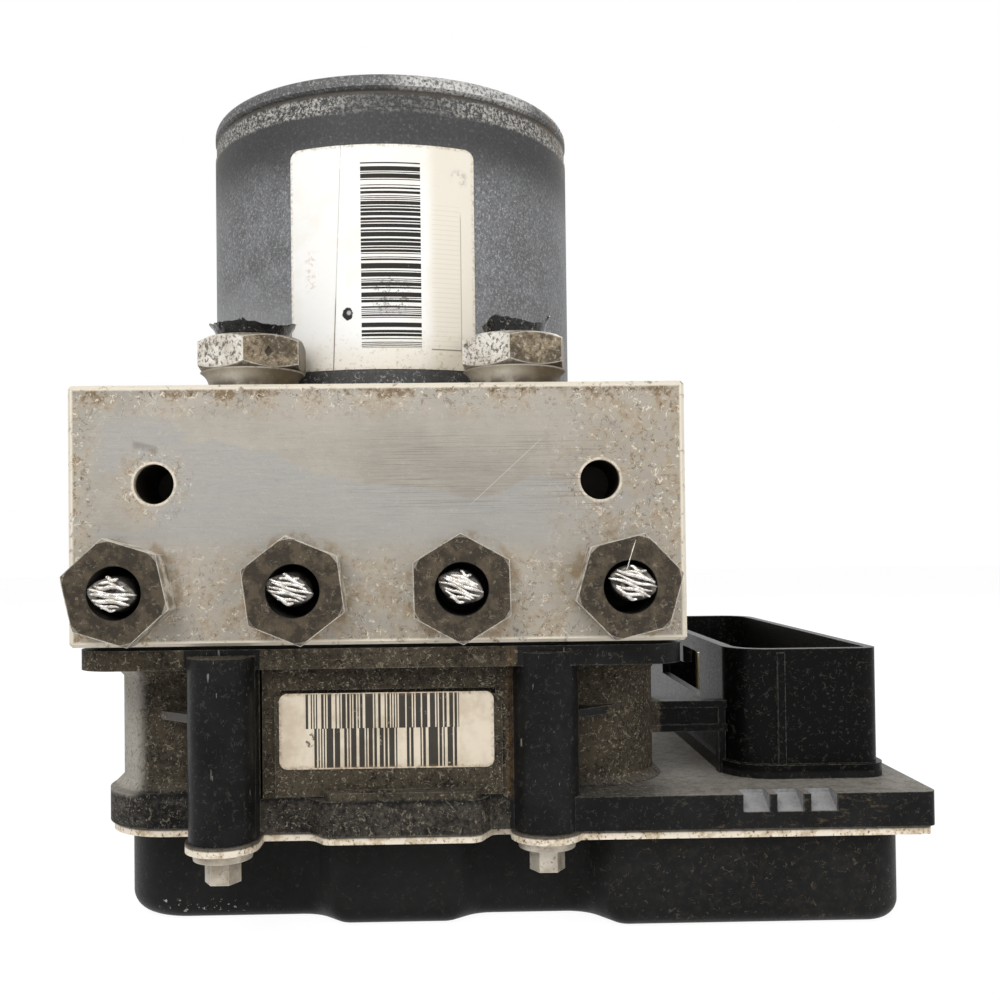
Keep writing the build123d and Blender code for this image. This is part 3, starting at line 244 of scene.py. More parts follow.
# ------------------------------------------------------------------ valve block
def block_material():
    s = Shade("block_aluminium", metallic=0.25, specular=0.3)
    # how far in from the block's sides a point lies; edge is how far from the nearest edge
    dx = s.sub(47.0, s.size(s.x))
    dy = s.sub(40.0, s.size(s.add(s.y, 5.0)))
    dz = s.sub(19.9, s.size(s.sub(s.z, 65.4)))
    low = s.least(dx, s.least(dy, dz))
    high = s.most(dx, s.most(dy, dz))
    edge = s.sub(s.add(dx, s.add(dy, dz)), s.add(low, high))
    front = s.span(s.y, -43.0, -44.6)
    broad = s.noise(0.05, 4.0, 0.6)
    blots = s.noise(0.3, 5.0, 0.68)
    fine = s.noise(1.3, 5.0, 0.72)
    grain = s.noise(1.0, 5.0, 0.65, s.stretch((0.25, 0.9, 2.2)))
    color = s.mix(s.span(broad, 0.35, 0.68), tone(152, 146, 136), tone(172, 165, 154))
    # plain grey patches that were wiped clean, in the upper part
    wiped = s.span(s.noise(0.05, 3.0, 0.5, s.stretch((0.6, 1.0, 1.2), (3.0, 0.0, 7.0))), 0.47, 0.49)
    inner = s.mul(s.span(edge, 3.0, 6.0), s.span(s.z, 58.0, 63.0))
    color = s.mix(s.mul(s.mul(wiped, inner), 0.8), color, tone(159, 158, 155))
    color = s.mix(s.span(grain, 0.3, 0.75, 0.0, 0.3), color, tone(180, 174, 164))
    # warmer toward the edges, the lower part, the right end and the mounting holes
    near = s.span(edge, 7.0, 0.5)
    lower = s.span(s.z, 64.0, 54.0, 0.0, 0.7)
    near = s.most(near, s.most(lower, s.span(s.x, 20.0, 40.0, 0.0, 0.85)))
    for x in MOUNT_XS:
        near = s.most(near, s.mul(s.disc(s.x, x, s.z, MOUNT_Z, 3.6, 4.0), s.mul(front, 0.8)))
    color = s.mix(s.mul(s.mul(near, s.span(blots, 0.4, 0.58)), 0.5), color, tone(184, 170, 148))
    tan = s.mul(near, s.span(s.add(s.mul(blots, 0.5), s.mul(fine, 0.5)), 0.49, 0.60))
    color = s.mix(s.mul(s.span(s.x, 18.0, 44.0), 0.3), color, tone(150, 140, 124))
    color = s.mix(s.mul(tan, 0.62), color, tone(142, 119, 86))
    # brown grime along the top edge and, thinner, along the other edges
    band = s.most(s.span(s.z, 80.2, 84.4), s.mul(s.span(edge, 3.2, 0.8), 0.6))
    grime = s.span(s.add(s.mul(band, 0.2), s.add(s.mul(blots, 0.4), s.mul(fine, 0.35))), 0.52, 0.64)
    color = s.mix(s.mul(s.mul(grime, band), 0.75), color, tone(104, 84, 58))
    # fine dark and bright curls
    spread = s.most(near, 0.1)
    color = s.mix(s.mul(s.hairs(0.85, 0.045, 0.53, 9.0), s.mul(spread, 0.62)), color, tone(84, 64, 40))
    color = s.mix(s.mul(s.hairs(0.75, 0.035, 0.56, 27.0), s.mul(spread, 0.7)), color, tone(236, 226, 208))
    spots = s.span(s.add(fine, s.mul(s.most(s.mul(band, 0.6), near), 0.07)), 0.70, 0.74)
    color = s.mix(s.mul(spots, 0.8), color, tone(74, 56, 34))
    # bright arris of the mounting holes, a painted shadow round the nuts, a dull streak above the left hole
    for x in MOUNT_XS:
        rim = s.band(s.distance(s.x, x, s.z, MOUNT_Z), 3.0, 3.3, 0.25)
        rim = s.mul(rim, s.span(fine, 0.36, 0.56, 0.15, 0.75))
        color = s.mix(s.mul(rim, front), color, tone(232, 221, 200))
    for x in PORT_XS:
        # painted shadow of each nut on the block, patchy
        nut_shadow = s.band(s.distance(s.x, x, s.z, PORT_Z), 7.2, 8.2, 1.2)
        nut_shadow = s.mul(nut_shadow, s.span(blots, 0.46, 0.58, 0.0, 0.5))
        color = s.mix(s.mul(nut_shadow, front), color, tone(128, 106, 74))
    smear = s.band(s.x, -36.8, -33.8, 0.6)
    smear = s.mul(smear, s.span(s.size(s.sub(s.add(s.z, s.mul(s.x, 0.25)), 67.0)), 0.8, 0.3))
    color = s.mix(s.mul(s.mul(smear, front), s.span(fine, 0.3, 0.6, 0.2, 0.6)), color, tone(122, 116, 106))
    # bright worn arris with dark nicks
    arris = s.span(edge, 1.0, 0.6)
    arris = s.mul(arris, s.span(s.noise(0.7, 4.0, 0.7), 0.34, 0.44, 0.1, 0.95))
    color = s.mix(arris, color, tone(226, 217, 200))
    # fine scratches right of the middle: dark level ones and one bright slanting cut
    lines = s.span(s.noise(1.0, 4.0, 0.7, s.stretch((0.05, 1.0, 7.0))), 0.53, 0.62)
    fade = s.mul(s.band(s.x, 2.0, 30.0, 9.0), s.band(s.z, 66.5, 76.0, 3.0))
    color = s.mix(s.mul(s.mul(lines, fade), s.mul(front, 0.6)), color, tone(112, 106, 98))
    slant = s.size(s.sub(s.add(s.z, s.mul(s.x, -0.91)), 53.8))
    cut = s.mul(s.span(slant, 0.11, 0.03), s.mul(s.band(s.x, 15.0, 24.0, 1.5), s.span(s.y, -44.0, -44.8)))
    color = s.mix(s.mul(cut, 0.4), color, tone(216, 210, 198))
    # painted shade inside the drilled holes
    color = s.mix(s.span(low, 0.7, 1.6), color, tone(40, 34, 28))
    rough = s.span(s.add(grain, s.mul(grime, 0.4)), 0.3, 1.1, 0.42, 0.72)
    relief = s.add(s.mul(grain, 0.4), s.add(s.mul(blots, 0.6), s.mul(fine, 0.5)))
    return s.done(color, rough, s.bump(relief, 0.09))


# ------------------------------------------------------------------ motor can
def can_material():
    s = Shade("zinc_can", metallic=0.25, specular=0.3)
    angle = s.angle()
    mottle = s.noise(0.22, 6.0, 0.7)
    fine = s.noise(1.9, 6.0, 0.78)
    crisp = s.noise(3.2, 3.0, 0.7, s.stretch((1.0, 1.0, 0.7)))
    color = s.mix(s.span(mottle, 0.38, 0.62), tone(100, 100, 101), tone(122, 123, 125))
    color = s.mix(s.span(fine, 0.51, 0.62, 0.0, 0.75), color, tone(166, 168, 170))
    color = s.mix(s.span(crisp, 0.47, 0.36, 0.0, 0.75), color, tone(72, 73, 75))
    color = s.mix(s.span(crisp, 0.60, 0.70, 0.0, 0.7), color, tone(196, 198, 199))
    pale = s.mul(s.span(s.z, 110.0, 92.0), s.span(s.x, -6.0, -24.0, 0.1, 0.8))
    color = s.mix(pale, color, tone(166, 167, 167))
    # darker toward the top
    color = s.mix(s.span(s.z, 118.0, 128.5, 0.0, 0.9), color, tone(52, 51, 51))
    veins = s.span(fine, 0.56, 0.68, 0.0, 0.35)
    color = s.mix(s.mul(veins, s.span(s.z, 120.0, 128.0)), color, tone(136, 134, 131))
    # worn flecks on the band, thickest away from the middle
    sides = s.span(s.size(s.sub(angle, 0.08)), 0.12, 0.5, 0.25, 1.0)
    flecks = s.mul(s.mul(s.band(s.z, 132.0, 134.2, 0.8), sides), s.span(fine, 0.46, 0.58))
    color = s.mix(s.mul(flecks, 0.85), color, tone(190, 187, 180))
    # rolled rim over its shallow groove, with a painted highlight at the front right and painted shade in the
    # groove
    rim = s.span(s.z, 135.2, 135.7)
    color = s.mix(s.mul(rim, 0.8), color, tone(96, 96, 96))
    scuff = s.mul(rim, s.span(fine, 0.50, 0.62))
    color = s.mix(s.mul(scuff, 0.7), color, tone(172, 171, 168))
    dark = s.mul(rim, s.span(crisp, 0.47, 0.36))
    color = s.mix(s.mul(dark, 0.7), color, tone(66, 64, 62))
    outer = s.span(s.distance(s.x, 0.0, s.y, 0.0), 30.4, 31.6)
    # painted highlight on the rim's outer side, toward the front right
    rim_highlight = s.mul(s.mul(s.mul(rim, outer), s.band(angle, 0.2, 0.75, 0.2)), s.span(fine, 0.40, 0.54))
    color = s.mix(s.mul(rim_highlight, 0.8), color, tone(212, 210, 206))
    # painted shade in the groove under the rim, patchy
    groove_shade = s.mul(s.band(s.z, 134.7, 135.2, 0.35), s.span(s.noise(0.5, 4.0, 0.6), 0.3, 0.5, 0.5, 1.0))
    color = s.mix(s.mul(groove_shade, 0.6), color, tone(70, 62, 52))
    bloom = s.mul(s.span(s.size(angle), 0.7, 1.4), s.span(s.z, 128.0, 134.0))
    bloom = s.mul(bloom, s.span(mottle, 0.46, 0.62))
    color = s.mix(s.mul(bloom, 0.55), color, tone(118, 100, 76))
    # dark foot with pale scratches
    foot = s.mul(s.span(s.z, 91.0, 88.6), 0.8)
    color = s.mix(foot, color, tone(50, 49, 47))
    scratches = s.mul(s.hairs(0.8, 0.03, 0.5, 13.0), s.span(s.z, 91.0, 87.0))
    color = s.mix(s.mul(scratches, 0.6), color, tone(182, 178, 170))
    rough = s.span(mottle, 0.3, 0.7, 0.48, 0.64)
    return s.done(color, rough, s.bump(s.add(s.mul(fine, 0.7), s.add(mottle, s.mul(crisp, 0.4))), 0.06))


# ------------------------------------------------------------------ nuts
def front_nut_material():
    s = Shade("front_nut_zinc", metallic=0.4, specular=0.35)
    pits = s.noise(1.5, 6.0, 0.72)
    patches = s.noise(0.4, 4.0, 0.62)
    # painted light by facing: the side flats painted bright as lit, the front faces darker
    face = s.span(s.ny, -0.75, -0.97)
    dark = s.mix(s.span(patches, 0.42, 0.6), tone(52, 45, 36), tone(80, 70, 55))
    dark = s.mix(s.span(pits, 0.55, 0.7), dark, tone(118, 108, 92))
    dark = s.mix(s.span(pits, 0.43, 0.34), dark, tone(28, 24, 20))
    dark = s.mix(s.mul(s.hairs(0.6, 0.03, 0.56, 3.0), 0.35), dark, tone(150, 142, 126))
    side = s.mix(s.span(patches, 0.4, 0.6), tone(146, 136, 118), tone(222, 215, 203))
    side = s.mix(s.span(pits, 0.45, 0.36), side, tone(74, 62, 46))
    color = s.mix(face, side, dark)
    radius = None
    for x in PORT_XS:
        ring = s.distance(s.x, x, s.z, PORT_Z)
        radius = ring if radius is None else s.least(radius, ring)
    # thin bright outer edge
    worn = s.mul(s.worn_edge(0.32, 0.01, 0.1), s.span(s.noise(0.9, 4.0, 0.7), 0.34, 0.5, 0.3, 1.0))
    color = s.mix(s.mul(s.mul(worn, s.span(radius, 5.0, 6.2)), 0.9), color, tone(226, 219, 206))
    # painted shade in the bore round each pipe
    color = s.mix(s.span(radius, 4.15, 3.95), color, tone(10, 9, 8))
    rough = s.span(pits, 0.3, 0.7, 0.36, 0.6)
    return s.done(color, rough, s.bump(s.add(pits, s.mul(patches, 0.5)), 0.14))


def top_nut_material():
    s = Shade("top_nut_zinc", metallic=0.4, specular=0.4)
    pits = s.noise(1.5, 5.0, 0.74)
    patches = s.noise(0.3, 4.0, 0.6)
    # painted light by facing: left-facing flats painted lit, right-facing flats painted in shade
    bright = s.mix(s.span(patches, 0.38, 0.62), tone(204, 196, 184), tone(232, 227, 218))
    shade = s.mix(s.span(patches, 0.4, 0.6), tone(84, 74, 58), tone(128, 114, 92))
    color = s.mix(s.span(s.nx, -0.25, 0.15), bright, shade)
    color = s.mix(s.span(pits, 0.50, 0.41, 0.0, 0.85), color, tone(62, 51, 36))
    lit = s.span(s.nx, -0.25, 0.15, 0.75, 0.35)
    color = s.mix(s.mul(s.span(pits, 0.55, 0.64), lit), color, tone(226, 219, 206))
    # smooth flare below the hexagon, with a painted highlight on its left-facing side and painted shade where
    # it meets the block
    flare = s.span(s.z, 88.5, 88.1)
    flare_highlight = s.span(s.nx, 0.5, -0.6)
    color = s.mix(s.mul(flare, 0.85), color, s.mix(flare_highlight, tone(120, 108, 88), tone(206, 198, 182)))
    low = s.mul(s.span(s.z, 87.2, 85.6), s.span(patches, 0.35, 0.55, 0.5, 1.0))
    color = s.mix(s.mul(low, 0.85), color, tone(50, 40, 26))
    # dent in the left nut's right face, its shade painted dark
    dent = s.span(s.add(s.mul(s.size(s.sub(s.x, -16.6)), 1.7), s.size(s.sub(s.z, 90.4))), 1.1, 0.6)
    color = s.mix(s.mul(dent, 0.85), color, tone(38, 31, 22))
    worn = s.mul(s.worn_edge(0.4, 0.01, 0.12), s.span(s.noise(0.8, 4.0, 0.7), 0.34, 0.5, 0.3, 1.0))
    color = s.mix(s.mul(worn, 0.8), color, tone(236, 230, 218))
    rough = s.span(pits, 0.3, 0.7, 0.3, 0.5)
    return s.done(color, rough, s.bump(s.sub(s.mul(pits, s.sub(1.0, flare)), s.mul(dent, 1.5)), 0.16))


# ------------------------------------------------------------------ black plastics
def housing_material():
    s = Shade("black_plastic", specular=0.08)
    grain = s.noise(2.6, 4.0, 0.6)
    broad = s.noise(0.14, 4.0, 0.6)
    fine = s.noise(1.5, 6.0, 0.78)
    color = s.mix(s.span(broad, 0.35, 0.65), tone(20, 20, 20), tone(30, 30, 30))
    # how dusty each region is
    socket = s.mul(s.span(s.x, 45.6, 46.4), s.span(s.z, 22.4, 22.9))
    color = s.mix(socket, color, tone(7, 7, 7))
    column = s.most(s.disc(s.x, -24.1, s.y, -44.4, 5.4, 0.5), s.disc(s.x, 25.4, s.y, -40.6, 5.4, 0.5))
    above = s.span(s.z, 20.6, 22.0)
    wall = s.mul(above, s.mul(s.span(s.y, -37.2, -36.2), s.span(s.x, 46.4, 45.6)))
    panel = s.mul(s.mul(s.band(s.x, -19.2, 21.4, 0.3), s.span(s.y, -39.0, -40.6)), above)
    deck = s.mul(s.span(s.z, 40.6, 41.8), s.span(s.y, -40.0, -42.5))
    deck = s.mul(deck, s.span(s.x, 4.0, -28.0, 0.12, 1.0))
    shelf = s.mul(s.span(s.nz, 0.55, 0.9), s.span(s.z, 24.0, 21.0))
    upward = s.mul(s.span(s.nz, 0.4, 0.9), 0.6)
    lobe = s.mul(s.mul(s.span(s.x, -26.0, -31.0), s.span(s.z, 22.5, 20.5)), 0.75)
    bulge = s.mul(s.mul(s.band(s.x, -21.0, 19.5, 1.5), s.span(s.z, 22.5, 20.5)), 0.85)
    rib = s.mul(s.band(s.x, -40.0, -29.0, 0.4), s.band(s.z, 32.0, 34.6, 0.3))
    rib = s.mul(rib, s.span(s.y, -35.3, -35.6))
    dusty = s.most(s.most(wall, panel), s.most(deck, s.most(shelf, upward)))
    dusty = s.most(dusty, s.most(lobe, bulge))
    dusty = s.mul(dusty, s.sub(1.0, s.mul(column, s.span(s.nz, 0.9, 0.4))))
    dusty = s.mul(dusty, s.sub(1.0, s.mul(socket, 0.9)))
    veil = s.span(s.add(s.mul(dusty, 0.34), s.add(s.mul(fine, 0.5), s.mul(broad, 0.25))), 0.56, 0.80)
    grey = s.most(lobe, s.most(shelf, s.mul(bulge, 0.6)))
    dust = s.mix(grey, tone(88, 79, 65), tone(104, 100, 93))
    color = s.mix(s.mul(veil, 0.72), color, dust)
    # short left wall painted pale as lit from the left, grey dust on its rib, grey flange dust on the right
    lit_left_wall = s.mul(s.mul(wall, s.span(s.x, -38.0, -41.0)), s.span(s.y, 4.0, -30.0, 0.5, 1.0))
    color = s.mix(s.mul(lit_left_wall, s.span(fine, 0.25, 0.6, 0.55, 1.0)), color, tone(172, 167, 158))
    color = s.mix(s.mul(rib, 0.8), color, tone(96, 93, 88))
    right = s.mul(shelf, s.span(s.x, 38.0, 50.0))
    right = s.mul(right, s.span(s.noise(0.5, 6.0, 0.75), 0.3, 0.6, 0.45, 1.0))
    color = s.mix(right, color, tone(140, 136, 129))
    # lint, specks, pits and a rusty line down the label panel's right edge
    lint = s.mul(s.hairs(0.8, 0.035, 0.52, 4.0), s.add(s.mul(dusty, 0.4), 0.08))
    color = s.mix(lint, color, tone(158, 148, 130))
    specks = s.span(s.add(s.noise(2.4, 3.0, 0.6), s.mul(dusty, 0.05)), 0.68, 0.73)
    color = s.mix(s.mul(specks, s.add(s.mul(dusty, 0.5), 0.16)), color, tone(176, 164, 142))
    pits = s.mul(dusty, s.span(fine, 0.45, 0.36))
    color = s.mix(s.mul(pits, 0.6), color, tone(24, 22, 19))
    rust = s.mul(s.mul(s.band(s.x, 19.4, 20.2, 0.4), s.span(s.y, -40.4, -41.0)), above)
    color = s.mix(s.mul(s.mul(rust, s.span(fine, 0.36, 0.62)), 0.6), color, tone(96, 74, 48))
    # pale cut faces of the three notches
    notch = s.band(s.x, 55.4, 70.3, 0.2)
    notch = s.mul(notch, s.mul(s.band(s.z, 18.6, 21.4, 0.1), s.span(s.y, -43.3, -43.0)))
    notch = s.mul(notch, s.span(s.y, -38.6, -39.2))
    color = s.mix(s.mul(notch, s.span(fine, 0.4, 0.62, 0.65, 0.95)), color, tone(152, 152, 154))
    # smudges on the flange's front, worn edges, long scratches down the columns
    smear = s.band(s.x, 52.0, 76.0, 4.0)
    smear = s.mul(smear, s.span(s.noise(0.7, 6.0, 0.8, s.stretch((0.5, 1.0, 1.6))), 0.56, 0.68))
    smear = s.mul(smear, s.span(s.z, 22.5, 21.0))
    color = s.mix(s.mul(smear, 0.4), color, tone(112, 96, 74))
    worn = s.mul(s.worn_edge(0.3, 0.03, 0.2), s.span(fine, 0.40, 0.60, 0.08, 1.0))
    color = s.mix(s.mul(worn, 0.6), color, tone(132, 127, 118))
    scratch = s.span(s.noise(1.0, 2.0, 0.5, s.stretch((2.4, 1.0, 0.35), (5.0, 0.0, 0.0))), 0.735, 0.745)
    color = s.mix(s.mul(scratch, s.mul(s.mul(column, above), 0.4)), color, tone(170, 168, 162))
    rough = s.add(s.mul(dusty, 0.34), s.span(grain, 0.3, 0.7, 0.28, 0.42), clamp=True)
    return s.done(color, rough, s.bump(s.add(s.mul(grain, 0.5), s.mul(veil, 0.5)), 0.06))


def cover_material():
    s = Shade("cover_plastic", specular=0.09)
    grain = s.noise(3.2, 4.0, 0.65)
    broad = s.noise(0.08, 3.0, 0.6)
    fine = s.noise(0.7, 5.0, 0.75)
    color = s.mix(s.span(broad, 0.35, 0.65), tone(21, 21, 21), tone(28, 28, 28))
    far = s.span(s.x, 20.0, 50.0, 0.3, 1.0)
    specks = s.span(s.noise(2.6, 3.0, 0.6), 0.69, 0.74)
    color = s.mix(s.mul(specks, s.mul(far, 0.6)), color, tone(112, 106, 94))
    lint = s.mul(s.hairs(0.7, 0.03, 0.56, 21.0), s.mul(far, 0.32))
    color = s.mix(lint, color, tone(120, 110, 94))
    haze = s.mul(far, s.span(fine, 0.44, 0.66))
    color = s.mix(s.mul(haze, 0.25), color, tone(62, 58, 52))
    scuff = s.mul(s.worn_edge(0.6, 0.02, 0.3), s.span(fine, 0.52, 0.62))
    color = s.mix(s.mul(scuff, 0.4), color, tone(96, 94, 90))
    # pale nicks along the lower left corner
    nicks = s.mul(s.band(s.x, -36.0, -24.0, 2.0), s.band(s.z, 1.6, 3.4, 0.4))
    nicks = s.mul(nicks, s.span(s.noise(1.1, 4.0, 0.7), 0.6, 0.64))
    color = s.mix(s.mul(nicks, 0.8), color, tone(190, 186, 178))
    return s.done(color, s.span(grain, 0.3, 0.7, 0.34, 0.48), s.bump(grain, 0.045))


def sleeve_material():
    s = Shade("torn_gloss_plastic", specular=0.22, coat=0.3, coat_rough=0.08)
    broad = s.noise(0.5, 4.0, 0.6)
    color = s.mix(s.span(broad, 0.4, 0.65), tone(9, 9, 9), tone(20, 20, 20))
    # painted highlights: small bright glints on the black plastic
    painted_glints = s.span(s.noise(1.4, 4.0, 0.7), 0.60, 0.64)
    color = s.mix(s.mul(painted_glints, 0.5), color, tone(190, 186, 178))
    return s.done(color, s.span(broad, 0.3, 0.7, 0.12, 0.26), s.bump(s.noise(1.2, 4.0, 0.6), 0.35))


# ------------------------------------------------------------------ labels
def motor_label_material():
    s = Shade("motor_label_film", specular=0.25)
    # millimetres along the film, from the front, at the film's radius
    across = s.mul(s.angle(), 33.45)
    blots = s.noise(0.11, 4.0, 0.6)
    fine = s.noise(1.6, 5.0, 0.7)
    color = s.mix(s.span(blots, 0.42, 0.66), tone(253, 252, 249), tone(247, 243, 235))
    color = s.mix(s.span(across, 6.6, 9.5, 0.0, 0.9), color, tone(230, 222, 206))
    color = s.mix(s.span(s.z, 96.0, 90.0, 0.0, 0.6), color, tone(236, 227, 208))
    grubby = s.mul(s.span(fine, 0.54, 0.66), s.span(s.z, 97.0, 90.5, 0.1, 0.9))
    color = s.mix(s.mul(grubby, 0.55), color, tone(178, 156, 120))
    # left panel a little greyer, up to the slanted fold
    slant = s.sub(across, s.add(-12.0, s.mul(s.z, 0.0434)))
    color = s.mix(s.span(slant, 0.2, -0.2, 0.0, 0.25), color, tone(236, 233, 226))
    fold = s.mul(s.span(s.size(slant), 0.14, 0.03), s.span(s.noise(0.4, 3.0, 0.6), 0.3, 0.5, 0.4, 1.0))
    color = s.mix(s.mul(fold, 0.55), color, tone(160, 150, 132))
    crease = s.mul(s.span(s.size(slant), 0.13, 0.04), s.span(s.z, 103.0, 99.0))
    color = s.mix(s.mul(crease, 0.75), color, tone(104, 86, 62))
    # stack of level bars
    field = s.mul(s.band(across, -3.3, 6.5, 0.04), s.band(s.z, 92.8, 123.2, 0.04))
    stack = s.mul(field, s.bars(s.z, 0.15, 0.56))
    stack = s.mul(stack, s.span(s.noise(0.6, 4.0, 0.7), 0.22, 0.34, 0.5, 1.0))
    color = s.mix(stack, color, tone(32, 28, 24))
    smudge = s.mul(s.mul(s.disc(across, 1.6, s.z, 101.2, 2.6, 1.4), field), s.span(fine, 0.5, 0.6))
    color = s.mix(s.mul(smudge, 0.6), color, tone(56, 44, 34))
    # fine ruled box with a dark foot
    rules = s.mul(s.band(across, 8.4, 13.1, 0.1), s.band(s.z, 93.0, 116.0, 1.0))
    rules = s.mul(rules, s.span(s.size(s.sub(s.math("FRACT", s.mul(s.z, 1.25)), 0.5)), 0.16, 0.04))
    color = s.mix(s.mul(rules, 0.14), color, tone(150, 138, 116))
    foot = s.mul(s.band(across, 8.2, 13.3, 0.08), s.span(s.size(s.sub(s.z, 92.6)), 0.15, 0.05))
    side = s.mul(s.band(s.z, 92.6, 114.0, 2.0), s.span(s.size(s.sub(across, 13.35)), 0.12, 0.04))
    color = s.mix(s.mul(s.most(foot, s.mul(side, 0.65)), 0.75), color, tone(74, 62, 46))
    # dark blot with a pale heart, faint stains, grubby rim
    blot = s.disc(across, s.add(-5.6, s.mul(s.sub(fine, 0.5), 1.2)), s.mul(s.z, 0.82), 80.7, 0.8, 0.15)
    heart = s.disc(across, -5.4, s.z, 98.6, 0.2, 0.3)
    color = s.mix(s.mul(blot, s.sub(1.0, s.mul(heart, 0.5))), color, tone(26, 24, 23))
    ghost = s.mul(s.band(across, -12.8, -11.4, 0.4), s.band(s.z, 103.0, 108.5, 1.0))
    color = s.mix(s.mul(s.mul(ghost, s.span(fine, 0.5, 0.58)), 0.45), color, tone(206, 176, 148))
    grey = s.mul(s.disc(across, 13.2, s.z, 121.2, 0.9, 1.0), s.span(s.noise(0.6, 5.0, 0.7), 0.44, 0.56))
    color = s.mix(s.mul(grey, 0.5), color, tone(150, 146, 140))
    rim = s.span(s.size(across), 15.1, 15.8)
    rim = s.most(rim, s.most(s.span(s.z, 90.1, 89.3), s.span(s.z, 125.5, 126.1)))
    color = s.mix(s.mul(rim, s.span(fine, 0.44, 0.64, 0.1, 0.7)), color, tone(166, 146, 112))
    relief = s.sub(s.mul(fine, 0.3), crease)
    return s.done(color, s.span(blots, 0.3, 0.7, 0.38, 0.5), s.bump(relief, 0.04))


def ecu_label_material():
    s = Shade("ecu_label_film", specular=0.25)
    blots = s.noise(0.14, 4.0, 0.65)
    fine = s.noise(1.5, 6.0, 0.75)
    color = s.mix(s.span(blots, 0.38, 0.64), tone(226, 213, 193), tone(202, 187, 164))
    color = s.mix(s.span(fine, 0.62, 0.76, 0.0, 0.6), color, tone(146, 124, 92))
    # two rows of upright bars
    upper = s.mul(s.band(s.x, -12.0, 11.9, 0.04), s.band(s.z, 32.3, 37.6, 0.05))
    lower = s.mul(s.band(s.x, -10.7, 11.6, 0.04), s.band(s.z, 26.3, 32.3, 0.05))
    dark = s.most(s.mul(upper, s.bars(s.x, 0.2, 0.56, 7.0)), s.mul(lower, s.bars(s.x, 0.21, 0.54, 61.0)))
    dark = s.mul(dark, s.span(s.noise(0.9, 4.0, 0.7), 0.24, 0.38, 0.45, 1.0))
    color = s.mix(s.mul(dark, 0.95), color, tone(20, 16, 13))
    blot = s.mul(s.disc(s.x, -11.5, s.z, 30.6, 0.9, 0.5), s.span(s.noise(0.9, 3.0, 0.6), 0.52, 0.56))
    color = s.mix(s.mul(blot, 0.8), color, tone(58, 36, 22))
    rim = s.most(s.span(s.size(s.sub(s.x, 0.7)), 15.9, 16.6), s.span(s.size(s.sub(s.z, 31.9)), 5.1, 5.8))
    color = s.mix(s.mul(rim, s.span(fine, 0.44, 0.64, 0.1, 0.8)), color, tone(128, 104, 74))
    return s.done(color, s.span(blots, 0.3, 0.7, 0.40, 0.55), s.bump(fine, 0.04))


# ------------------------------------------------------------------ metals and the rest
def metal(name, pale, dark, grime, rough=(0.3, 0.5), scale=0.6, relief=0.06, metallic=0.7, edge=0.5):
    """Plain metal: patches of two tones, grime in the pits and, unless edge is nought, bright edges."""
    s = Shade(name, metallic=metallic)
    broad = s.noise(scale * 0.35, 4.0, 0.6)
    fine = s.noise(scale * 2.4, 5.0, 0.7)
    color = s.mix(s.span(broad, 0.36, 0.64), tone(*pale), tone(*dark))
    color = s.mix(s.span(fine, 0.44, 0.32, 0.0, 0.75), color, tone(*grime))
    if edge:
        color = s.mix(s.mul(s.worn_edge(0.3), edge), color, tone(222, 218, 210))
    return s.done(color, s.span(fine, 0.3, 0.7, *rough), s.bump(fine, relief))


def plate_material():
    s = Shade("plate_edge", metallic=0.2)
    stains = s.noise(0.5, 5.0, 0.72)
    fine = s.noise(2.0, 4.0, 0.7)
    color = s.mix(s.span(stains, 0.44, 0.62), tone(236, 225, 206), tone(198, 180, 152))
    color = s.mix(s.mul(s.span(fine, 0.56, 0.66), s.span(stains, 0.46, 0.58)), color, tone(96, 72, 44))
    # painted shadow along the top of the plate's edge, under the housing's flange
    color = s.mix(s.mul(s.span(s.z, 15.6, 15.9), 0.9), color, tone(40, 32, 24))
    return s.done(color, s.span(stains, 0.3, 0.7, 0.42, 0.62), s.bump(fine, 0.08))


def soft_material(name, pale, dark, rough=(0.45, 0.65)):
    """Plain plastic, rubber or resin: patches of two tones with dust."""
    s = Shade(name, specular=0.45)
    broad = s.noise(0.24, 4.0, 0.6)
    fine = s.noise(2.4, 4.0, 0.65)
    color = s.mix(s.span(broad, 0.35, 0.65), tone(*pale), tone(*dark))
    color = s.mix(s.span(fine, 0.6, 0.72, 0.0, 0.4), color, tone(120, 112, 98))
    return s.done(color, s.span(fine, 0.3, 0.7, *rough), s.bump(fine, 0.05))


def winding_material():
    s = Shade("copper_wire", metallic=0.6)
    wires = s.math("SINE", s.mul(s.z, 14.0))
    fine = s.noise(1.2, 4.0, 0.6)
    color = s.mix(s.span(s.add(wires, fine), -0.2, 1.2), tone(96, 48, 28), tone(190, 112, 70))
    return s.done(color, s.span(fine, 0.3, 0.7, 0.28, 0.42), s.bump(wires, 0.12))


turned = metal("turned_steel", (176, 174, 170), (142, 139, 134), (96, 88, 76))
dull = metal("dull_steel", (202, 194, 180), (160, 149, 132), (86, 72, 54), relief=0.12, metallic=0.45)
pipe = metal("drawn_pipe", (238, 235, 230), (186, 180, 172), (70, 62, 54),
             rough=(0.16, 0.3), scale=1.6, relief=0.12, metallic=0.95)
